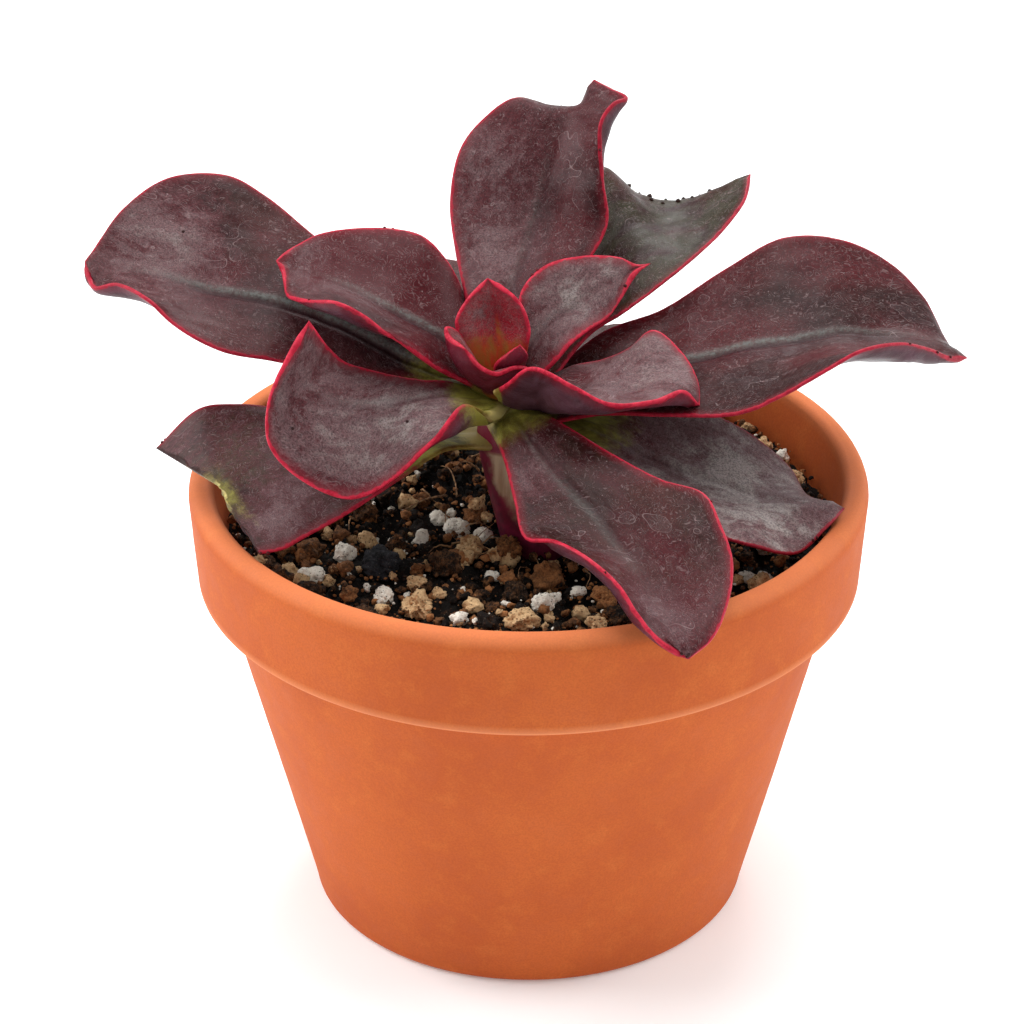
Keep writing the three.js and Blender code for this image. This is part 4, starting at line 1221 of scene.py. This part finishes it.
def pot_outline():
    """The pot's section from the drain hole out, up, over the rim and back down the inside."""
    foot = POT["base_rounding"]
    edge = POT["collar_edge"]
    fillet = POT["collar_fillet"]
    outer = POT["rim_outer_rounding"]
    inner = POT["rim_inner_rounding"]
    shoulder = (POT["shoulder_radius"], POT["collar_bottom"])
    base = arc((POT["base_radius"] - foot + POT["base_bulge"], foot), foot, -90, 0)
    collar = arc((POT["collar_bottom_radius"] - edge, POT["collar_bottom"] + edge), edge, -90, 0)
    rim_centre = (POT["collar_top_radius"] - outer, POT["height"] - outer)
    lip_centre = (POT["rim_inner_radius"] + inner, POT["height"] - inner)
    drain = (POT["drain_radius"], 0)
    below = (shoulder[0] - fillet / 4, shoulder[1] - fillet)
    beside = (shoulder[0] + fillet, shoulder[1])
    lip = (POT["rim_inner_radius"], lip_centre[1])
    wall = (POT["wall_at_soil"], SOIL["level"])
    corner = (POT["floor_radius"], POT["floor"])
    return [
        drain,
        *straight(drain, base[0], POT_STEPS["underside"]),
        *base,
        *straight(base[-1], below, POT_STEPS["body"]),
        below,
        beside,
        *collar,
        *straight(collar[-1], (POT["collar_top_radius"], rim_centre[1]), POT_STEPS["collar"]),
        *arc(rim_centre, outer, 0, 90, POT_STEPS["rim"]),
        *arc(lip_centre, inner, 90, 180),
        *straight(lip, wall, POT_STEPS["mouth"]),
        wall,
        *straight(wall, corner, POT_STEPS["inside"]),
        corner,
        (POT["drain_radius"], POT["floor"]),
    ]


def add_pot(material):
    """The clay pot: its outline turned round the middle, slightly uneven, with painted highlights at its
    edges.
    """
    radius, height = np.array(pot_outline()).T
    around = circle(POT["sides"])
    points = radius[:, None, None] * around + height[:, None, None] * UP
    near, far = POT["drain_radius"] + CLAY_FADE["drain"], POT["base_radius"] - CLAY_FADE["base"]
    outside = ease(radius, near, far) * ease(height, *CLAY_FADE["foot"])
    points += around * (layered(points, CLAY_WAVES) * outside[:, None])[..., None]
    rows, columns = points.shape[:2]
    seam = grid_faces(2, columns)
    last_row = (rows - 1) * columns
    seam = np.where(seam >= columns, seam - columns, seam + last_row)
    # A painted highlight: paler clay over the rounded rim top and in a line along the collar's lower
    # edge.
    top = ease(height, POT["height"] - CLAY_HIGHLIGHT["rim_from"], POT["height"] - CLAY_HIGHLIGHT["rim_full"])
    line = bell(height, POT["collar_bottom"] + CLAY_HIGHLIGHT["line_height"], CLAY_HIGHLIGHT["line_width"])
    line *= radius > POT["shoulder_radius"] + CLAY_HIGHLIGHT["line_out"]
    worn = np.repeat(np.maximum(CLAY_HIGHLIGHT["rim_share"] * top, line), columns)
    faces = [grid_faces(rows, columns), seam]
    make_piece(
        "clay_pot", points.reshape(-1, 3), faces, material, "terracotta", ["pot"], worn=worn
    )


# -------- soil


def phase(wave, x, y):
    return wave[0] * x + wave[1] * y + wave[2]


def soil_height(x, y):
    """The mean surface of the soil, which the grains lie on."""
    total = SOIL["level"]
    for wave in SOIL_WAVES:
        swell = np.sin(phase(wave["rise"], x, y)) * np.cos(phase(wave["cross"], x, y))
        total = total + SOIL["bump"] * wave["share"] * swell
    return total


def unit_sphere(splits):
    """The vertices and triangles of a round ball of radius 1."""
    ball = bmesh.new()
    bmesh.ops.create_icosphere(ball, subdivisions=splits, radius=1.0)
    vertices = np.array([v.co for v in ball.verts])
    faces = np.array([[v.index for v in f.verts] for f in ball.faces])
    ball.free()
    return vertices, faces


def lump(vertices, rng, size, squash, rough):
    """One uneven grain round the origin, turned at random."""
    seed = int(rng.integers(1, SEED_LIMIT))
    shift = rng.uniform(-LUMP["shift"], LUMP["shift"], 3)
    bumps = rough_noise(vertices * LUMP["scale"] + shift, LUMP["octaves"], seed, LUMP["fade"])
    shape = (1.0, rng.uniform(LUMP["narrow"], 1.0), rng.uniform(squash, 1.0))
    spin = turn_matrix(rng.uniform(0, TURN), X, Y)
    lean = turn_matrix(rng.uniform(-LUMP["tilt"], LUMP["tilt"]), Y, Z)
    return vertices * (1 + rough * bumps)[:, None] * shape @ lean.T @ spin.T * size / 2


def scatter(name, kind, rng, material, keep_off):
    """Many loose grains on the soil, as one piece."""
    vertices, faces = unit_sphere(kind["splits"])
    small, large = kind["sizes"]
    blocks, tones = [], []
    while len(blocks) < kind["count"]:
        angle = rng.uniform(0, TURN)
        radius = (SOIL["radius"] - large / 2) * math.sqrt(rng.uniform(0, 1))
        x, y = radius * math.cos(angle), radius * math.sin(angle)
        size = small + (large - small) * rng.uniform(0, 1) ** 2
        tone = rng.uniform(*kind["tones"])
        if any(math.hypot(x - cx, y - cy) < reach + size / 2 for cx, cy, reach in keep_off):
            continue
        height = soil_height(x, y) + size * rng.uniform(*LUMP["lie"])
        blocks.append(lump(vertices, rng, size, kind["squash"], kind["rough"]) + (x, y, height))
        tones.append(np.full(len(vertices), tone))
    faces = np.concatenate([faces + k * len(vertices) for k in range(kind["count"])])
    tone = np.concatenate(tones)
    make_piece(name, np.concatenate(blocks), [faces], material, kind["slot"], tone=tone)


def add_soil(material):
    """The packed soil: a crumbly top, the sides against the pot and the underside at the drain."""
    around = circle(SOIL["sides"])
    radii = SOIL["radius"] * np.linspace(0, 1, SOIL["rings"] + 1)[1:]
    flat = radii[:, None, None] * around
    edge = ease(radii, SOIL["radius"] - SOIL["edge_band"], SOIL["radius"])[:, None]
    level = soil_height(flat[..., X], flat[..., Y]) - SOIL["sink"]
    level = level + layered(flat, SOIL_CLODS) * (1 - edge / 2) - SOIL["edge_drop"] * edge
    top = flat + level[..., None] * UP
    under = POT["floor"] + SOIL["floor_gap"]
    shares = np.array(SOIL["side_shares"])[::-1, None, None]
    high = (POT["wall_at_soil"] - SOIL["side_gap"]) * around + (SOIL["level"] - SOIL["side_drop"]) * UP
    low = (POT["floor_radius"] - SOIL["floor_gap"]) * around + under * UP
    walls = high + (low - high) * shares
    rings = np.concatenate([walls, top[::-1]])
    ends = [(0, 0, under), (0, 0, soil_height(0, 0) - SOIL["sink"])]
    vertices = np.vstack([rings.reshape(-1, 3), ends])
    faces = tube_faces(len(rings), SOIL["sides"])
    tone = np.full(len(vertices), SOIL["tone"])
    make_piece("soil_bed", vertices, faces, material, "potting_mix", ["soil"], tone=tone)


def fibre_line(rng, near_stem):
    """Points along one fibre that lies on the soil in a low hump, and its radius."""
    outer = SOIL["radius"] - FIBRES["wall_gap"]
    far = (FIBRES["from_middle"], SOIL["radius"] - FIBRES["off_wall"])
    reach = rng.uniform(*(FIBRES["near_stem"] if near_stem else far))
    angle = rng.uniform(0, TURN)
    point = np.array([reach * math.cos(angle), reach * math.sin(angle)])
    heading = rng.uniform(0, TURN)
    length = rng.uniform(*FIBRES["length"])
    radius = rng.uniform(*FIBRES["radius"])
    bend = rng.uniform(-FIBRES["bend"], FIBRES["bend"])
    steps = FIBRES["steps"]
    centre = []
    for step in range(steps):
        heading += bend + rng.uniform(-FIBRES["wander"], FIBRES["wander"])
        point = point + np.array([math.cos(heading), math.sin(heading)]) * length / steps
        if math.hypot(*point) > outer:
            point = point * outer / math.hypot(*point)
        hump = FIBRES["hump"] * math.sin(step / steps * math.pi)
        hump += rng.uniform(-FIBRES["jitter"], FIBRES["jitter"])
        centre.append((*point, soil_height(*point) + FIBRES["lift"] + hump))
    return np.array(centre), radius


def add_fibres(rng, material):
    """Thin roots and twigs lying among the crumbs."""
    sides, steps = FIBRES["sides"], FIBRES["steps"]
    taper = (1 - FIBRES["taper"] * np.linspace(0, 1, steps))[:, None, None]
    walls, caps = tube_faces(steps, sides)
    blocks = []
    for number in range(FIBRES["count"]):
        centre, radius = fibre_line(rng, number % FIBRES["near_every"] == 0)
        along = unit(np.gradient(centre, axis=0))
        side = unit(np.cross(along, UP))
        tube = centre[:, None] + hoop(side, np.cross(side, along), sides) * radius * taper
        blocks.append(np.vstack([tube.reshape(-1, 3), centre[0], centre[-1]]))
    offsets = [number * len(blocks[0]) for number in range(FIBRES["count"])]
    faces = [np.concatenate([part + offset for offset in offsets]) for part in (walls, caps)]
    make_piece("root_fibres", np.concatenate(blocks), faces, material, "potting_mix")


def add_grain(node, rng, material, slot, rough):
    """A loose grain in the place and size of its CAD node, with one dent in its side.

    Gives back the centre and the radius of the round patch of soil that it covers.
    """
    low, high = (np.array(corner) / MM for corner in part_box(node))
    large = max(high - low) > GRAIN["large"]
    ball, faces = unit_sphere(GRAIN["large_splits"] if large else GRAIN["splits"])
    seed = int(rng.integers(1, SEED_LIMIT))
    bumps = rough_noise(ball * GRAIN["scale"] + seed, GRAIN["octaves"], seed, GRAIN["fade"])
    dent = rng.normal(size=3)
    dent[Z] = abs(dent[Z])
    hollow = np.exp(-(((ball - unit(dent)) ** 2).sum(1)) / GRAIN["dent"])
    body = ball * ((1 + rough * bumps) * (1 - rough * hollow))[:, None]
    span = body.max(0) - body.min(0)
    body = (body - (body.max(0) + body.min(0)) / 2) / span * (high - low) + (low + high) / 2
    make_piece(f"{node}_grain", body, [faces], material, slot, [node], tone=np.zeros(len(body)))
    middle = (low + high) / 2
    return middle[X], middle[Y], max(high[:2] - low[:2]) / 2 * GRAIN["reach"]


# -------- stem


def add_stem(material):
    """The bare stem, from its root end in the soil up to the crown."""
    rows, sides = STEM_MESH["rows"], STEM_MESH["sides"]
    shares = np.linspace(0, 1, rows)
    axis = curve_points([at for at, _ in STEM], shares)
    radius = curve_points([(r, 0, 0) for _, r in STEM], shares)[:, 0]
    around = circle(sides)
    points = axis[:, None] + around * radius[:, None, None]
    height = axis[:, Z]
    collar = SCAR["rise"] * bell(height, SCAR["height"], SCAR["width"])
    points += around * (collar[:, None] + layered(points, STEM_FOLDS))[..., None]
    foot = 1 - ease(height, *STEM_FLUSH["foot"])
    flush = np.clip(ease(-around[:, X], *STEM_FLUSH["left"]) + foot[:, None], 0, 1)
    scar = np.repeat(ease(height, SCAR["lower_edge"], SCAR["height"]), sides)
    ends = [0, 0]
    make_piece(
        "stem_skin",
        np.vstack([points.reshape(-1, 3), axis[0], axis[-1]]),
        tube_faces(rows, sides),
        material,
        "stem_skin",
        ["stem"],
        flush=np.concatenate([flush.ravel(), ends]),
        scar=np.concatenate([scar, ends]),
    )


# -------- leaves


def section_positions(width, inner):
    """Distances across a leaf at which its columns lie, close together along both margins."""
    rim = min(BLADE["rim"], width / BLADE["rims_across"])
    left = rim * np.array(RIM_SHARES)
    middle = np.linspace(rim, width - rim, inner + 2)[1:-1]
    return np.concatenate([left, middle, width - left[::-1]])


def lengths_along(points):
    """How far along a line each of its points lies."""
    return np.concatenate([[0], np.cumsum(np.linalg.norm(np.diff(points, axis=0), axis=1))])


def leaf_surface(leaf):
    """The leaf's middle surface from base to tip and from its left to its right margin.

    Also gives each point's distance from the left margin and from the midrib, and each row's width,
    distance from the base and share of the way along the rails.
    """
    names = [rail for rail in RAILS if rail in leaf]
    ends = [leaf["tip"]] if "tip" in leaf else []
    rails = {rail: np.array(leaf[rail] + ends, float) for rail in names}
    rib_share = names.index("rib") / (len(names) - 1)
    rows = int(lengths_along(rails["rib"])[-1] / BLADE["step"]) + BLADE["spare_rows"]
    shares = np.linspace(0, BLADE["end"] if ends else 1.0, rows)
    stack = np.array([curve_points(rails[rail], shares) for rail in names])
    dense = curve_points(stack, np.linspace(0, 1, BLADE["dense"] + 1))
    rib_index = int(round(rib_share * BLADE["dense"]))
    widths = np.linalg.norm(np.diff(dense, axis=0), axis=-1).sum(0)
    inner = int(widths.max() / BLADE["step"])
    grid, across, from_rib = [], [], []
    for row in range(rows):
        line = dense[:, row]
        travelled = lengths_along(line)
        bloom_and_light_spots = section_positions(travelled[-1], inner)
        grid.append(np.stack([np.interp(bloom_and_light_spots, travelled, line[:, k]) for k in range(3)], axis=-1))
        across.append(bloom_and_light_spots)
        from_rib.append(travelled[rib_index] - bloom_and_light_spots)
    grid = np.array(grid)
    run = lengths_along(grid[:, grid.shape[1] // 2])
    return grid, np.array(across), np.array(from_rib), widths, run, shares


def surface_normals(grid):
    """The upward normal at each point, smoothed so that a tight bend doesn't fold the skin."""
    normal = np.cross(np.gradient(grid, axis=0), -np.gradient(grid, axis=1))
    for _ in range(BLADE["smoothing"]):
        normal /= np.linalg.norm(normal, axis=-1, keepdims=True) + TINY
        padded = np.pad(normal, ((1, 1), (1, 1), (0, 0)), mode="edge")
        around = padded[:-2, 1:-1] + padded[2:, 1:-1] + padded[1:-1, :-2] + padded[1:-1, 2:]
        normal = 4 * normal + around
    return normal / (np.linalg.norm(normal, axis=-1, keepdims=True) + TINY)


def half_thickness(across, widths, shares):
    """Half the leaf's thickness at each point, rounded off at the margins."""
    width = widths[:, None]
    to_edge = np.minimum(across, width - across)
    from_base = np.clip(1 - shares / BLADE["base_share"], 0, 1)[:, None] ** 2
    middle = BLADE["middle"] + (BLADE["base"] - BLADE["middle"]) * from_base
    off_centre = np.abs(2 * across / np.maximum(width, TINY) - 1)
    thickness = middle + (BLADE["margin"] - middle) * off_centre**2
    thickness = np.minimum(thickness, BLADE["fullness"] * width)
    radius = np.maximum(np.minimum(BLADE["margin"], BLADE["fullness"] * width) / 2, TINY)
    inside = np.clip(to_edge / radius, 0, 1)
    return thickness / 2 * np.sqrt(1 - (1 - inside) ** 2)


def torn_end(grid, share, shares):
    """Pulls the last rows back unevenly, so that the leaf ends in a rough tear."""
    back = unit(np.gradient(grid, axis=0))
    ragged = layered(share[-1][:, None] * (1, 0, 0), TEAR_EDGE)
    notch = (TEAR["pull"] + ragged) * np.sin(np.pi * share[-1]) ** TEAR["corners"]
    pull = ease(shares, TEAR["from"], 1.0)[:, None] * np.maximum(notch, 0)
    return grid - back * pull[..., None]


def warts(name, top, normal):
    """Small corky cones on a leaf: their vertices, faces, and the grid point under each vertex."""
    rows, columns = top.shape[:2]
    places = WARTS.get(name, ())
    larger = WART["larger"] if len(places) > WART["many"] else 1.0
    rng = np.random.default_rng(len(name))
    walls, caps = tube_faces(2, WART["sides"])
    step = 2 * WART["sides"] + 2
    blocks, sources = [], []
    for along, across in places:
        row, column = int(along * (rows - 1)), int(across * (columns - 1))
        up = normal[row, column]
        side = unit(np.cross(up, WART["aside"]))
        size = rng.uniform(*WART["radius"]) * larger
        ring = hoop(side, np.cross(up, side), WART["sides"]) * size
        at = top[row, column] - WART["sink"] * up
        shoulder = at + ring * WART["waist"] + up * size * WART["shoulder"]
        blocks.append(np.vstack([at + ring, shoulder, at, at + up * size * WART["top"]]))
        sources += [row * columns + column] * step
    offsets = [number * step for number in range(len(places))]
    faces = [(walls + offset, caps + offset) for offset in offsets]
    return blocks, faces, sources


def leaf_sides(grid, half, look, from_rib, along, to_edge, to_end, seed):
    """The upper and the lower side of a leaf, its normals and how deep its midrib is."""
    flat = np.stack([from_rib, along, np.full_like(along, seed * SEED_STEP["swell"])], axis=-1)
    swell = layered(flat, SWELLS, seed) * ease(to_edge, 0, SWELL_MARGIN) + layered(flat, RIPPLES, seed)
    rib_share = look["crease"] * ease(to_end, *CREASE["tip"]) * ease(along, *CREASE["base"])
    crease = bell(from_rib, 0, CREASE["width"]) * rib_share
    normal = surface_normals(grid)
    top = grid + normal * (half + swell - CREASE["depth"] * crease)[..., None]
    under = grid - normal * (half - swell + CREASE["keel"] * crease)[..., None]
    return top, under, normal, rib_share


def leaf_zones(look, torn, share, from_rib, along, to_end):
    """How green, how cream and how dark a leaf is at its foot, along a stripe and at a torn end."""
    olive = 1 - ease(along, *np.multiply(look["olive"], FOOT["olive"]))
    cream = 1 - ease(along, *np.multiply(look["olive"], FOOT["cream"]))
    dark = np.zeros(along.shape)
    if torn:
        fresh = bell(share, TEAR["flesh_at"], TEAR["flesh_width"])
        green = fresh * (1 - ease(to_end, TEAR["green_to"], TEAR["green_from"]))
        olive = np.maximum(olive, TEAR["green"] * green)
        pale = fresh * (1 - ease(to_end, 0, TEAR["pale_from"]))
        cream = np.maximum(cream, TEAR["pale"] * pale)
        dark = (1 - fresh) * (1 - ease(to_end, 0, TEAR["dark_from"]))
    if "stripe" in look:
        stripe = bell(from_rib, look["stripe"], STRIPE["width"]) * (1 - ease(along, *STRIPE["ends"]))
        olive = np.maximum(olive, STRIPE["share"] * stripe)
    return olive, cream, dark


def rib_marks(look, from_rib, rib_share):
    """Where powder and a painted sheen lie beside the midrib, and how dark the painted shade is in the
    crease and the band beside it.
    """
    dust_and_sheen = look["dust_and_sheen"]
    powder_and_sheen = abs(dust_and_sheen) * bell(from_rib, math.copysign(DUST_AND_SHEEN["off"], dust_and_sheen), DUST_AND_SHEEN["width"])
    band = bell(from_rib, -math.copysign(CREASE_SHADE["band_off"], dust_and_sheen), CREASE_SHADE["band_width"])
    groove = bell(from_rib, 0, CREASE_SHADE["width"]) + CREASE_SHADE["band_share"] * band
    return powder_and_sheen * rib_share, groove * rib_share


def wax_cover(look, from_rib, along):
    """How much bloom a leaf has, its usual amount and more or less in spots, partly painted sheen and
    shade.
    """
    wax = np.full(along.shape, float(look["bloom_and_sheen"]))
    # More bloom in a spot is partly a painted sheen, and less is partly a painted shade.
    for left, out, radius, more in look["bloom_and_light_spots"]:
        wax += more * bell(np.hypot(from_rib - left, along - out), 0, radius)
    return wax


def add_leaf(name, material, slot, seed):
    """One leaf: a skin round its middle surface, its warts, and where each of its colours lies."""
    leaf, look = LEAVES[name], USUAL_LOOK | LOOKS[name]
    torn = "tip" not in leaf
    grid, across, from_rib, widths, run, shares = leaf_surface(leaf)
    rows, columns = across.shape
    share = across / np.maximum(widths, TINY)[:, None]
    if torn:
        grid = torn_end(grid, share, shares)
    half = half_thickness(across, widths, shares)
    to_edge = np.minimum(across, widths[:, None] - across)
    along = np.broadcast_to(run[:, None], across.shape)
    to_end = run[-1] - along
    top, under, normal, rib_share = leaf_sides(
        grid, half, look, from_rib, along, to_edge, to_end, seed
    )

    ring = np.concatenate([top, under[:, -2:0:-1]], axis=1)
    tip = grid[-1, columns // 2] if torn else leaf["tip"]
    bumps, bump_faces, bump_sources = warts(name, top, normal)
    vertices = np.vstack([ring.reshape(-1, 3), grid[0].mean(0), tip, *bumps])
    vertices = vertices @ turn_matrix(math.radians(leaf["turn"]), X, Y).T + CROWN
    walls, caps = tube_faces(rows, ring.shape[1], reverse=True)
    offset = ring.shape[0] * ring.shape[1] + 2
    faces = [
        np.concatenate([walls, *(wall + offset for wall, _ in bump_faces)]),
        np.concatenate([caps, *(cap + offset for _, cap in bump_faces)]),
    ]

    def spread(values, base_end=0.0, tip_end=0.0, bump=None):
        """A value on the grid carried to the underside, the two end points and the bumps."""
        both = np.concatenate([values, values[:, -2:0:-1]], axis=1)
        on_bumps = values.ravel()[bump_sources] if bump is None else np.full(len(bump_sources), bump)
        return np.concatenate([both.ravel(), [base_end, tip_end], on_bumps])

    below = np.concatenate([np.zeros((rows, columns)), np.ones((rows, columns - 2))], axis=1)
    olive, cream, dark = leaf_zones(look, torn, share, from_rib, along, to_end)
    powder_and_sheen, groove = rib_marks(look, from_rib, rib_share)
    seeds = np.full(len(vertices), seed * SEED_STEP["paint"])
    zones = [spread(olive, 1, olive[-1].max()), spread(cream, 1, cream[-1].max()), spread(powder_and_sheen)]
    make_piece(
        f"{name}_blade",
        vertices,
        faces,
        material,
        slot,
        [name],
        blade=np.stack([spread(from_rib), spread(along, 0, run[-1]), seeds], axis=-1),
        zone=np.stack(zones, axis=-1),
        look=np.tile((look["wine"], look["pink"], look["green"]), (len(vertices), 1)),
        edge=spread(to_edge / look["rim"]),
        wax=spread(wax_cover(look, from_rib, along)),
        groove=spread(groove),
        under=np.concatenate([below.ravel(), np.zeros(2 + len(bump_sources))]),
        mark=spread(dark, 0, 0, WART["dark"]),
    )


# -------- the scene


def add_floor():
    half = FLOOR["size"] / 2
    mesh = bpy.data.meshes.new("floor")
    corners = [(-half, -half, 0), (half, -half, 0), (half, half, 0), (-half, half, 0)]
    mesh.from_pydata(corners, [], [(0, 1, 2, 3)])
    mesh.materials.append(floor_material())
    add_object("floor", mesh)


def add_all_soil():
    """The packed soil and everything that lies on it."""
    rng = np.random.default_rng(SOIL_SEED)
    materials = {name: crumb_material(name, **stuff) for name, stuff in CRUMBS.items()}
    materials.update({name: stone_material(name, **stuff) for name, stuff in STONES.items()})
    add_soil(materials["potting_mix"])
    at, radius = STEM[STEM_AT_SOIL]
    off_stem = [(at[X], at[Y], radius)]
    off_grains = []
    for kind, rough in GRAINS.items():
        for node in sorted(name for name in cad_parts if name.startswith(kind)):
            off_grains.append(add_grain(node, rng, materials[kind], kind, rough))
    for name, kind in SCATTERS.items():
        keep_off = off_stem + off_grains if kind["clear"] else off_stem
        scatter(name, kind, rng, materials[kind["stuff"]], keep_off)
    add_fibres(rng, fibre_material())


def add_plant():
    """The stem and its leaves. The three in the middle have a lighter skin, in part a painted glow."""
    add_stem(stem_material())
    materials = {name: leaf_material(name, skin) for name, skin in SKINS.items()}
    for seed, name in enumerate(LEAVES, start=1):
        slot = "inner_leaf" if name in INNER_LEAVES else "leaf"
        add_leaf(name, materials[slot], slot, seed)


add_camera()
add_world()
for light_name, light in LIGHTS.items():
    add_light(light_name, **light)
bpy.context.scene.view_settings.view_transform = "Standard"
add_floor()
add_pot(terracotta_material())
add_all_soil()
add_plant()
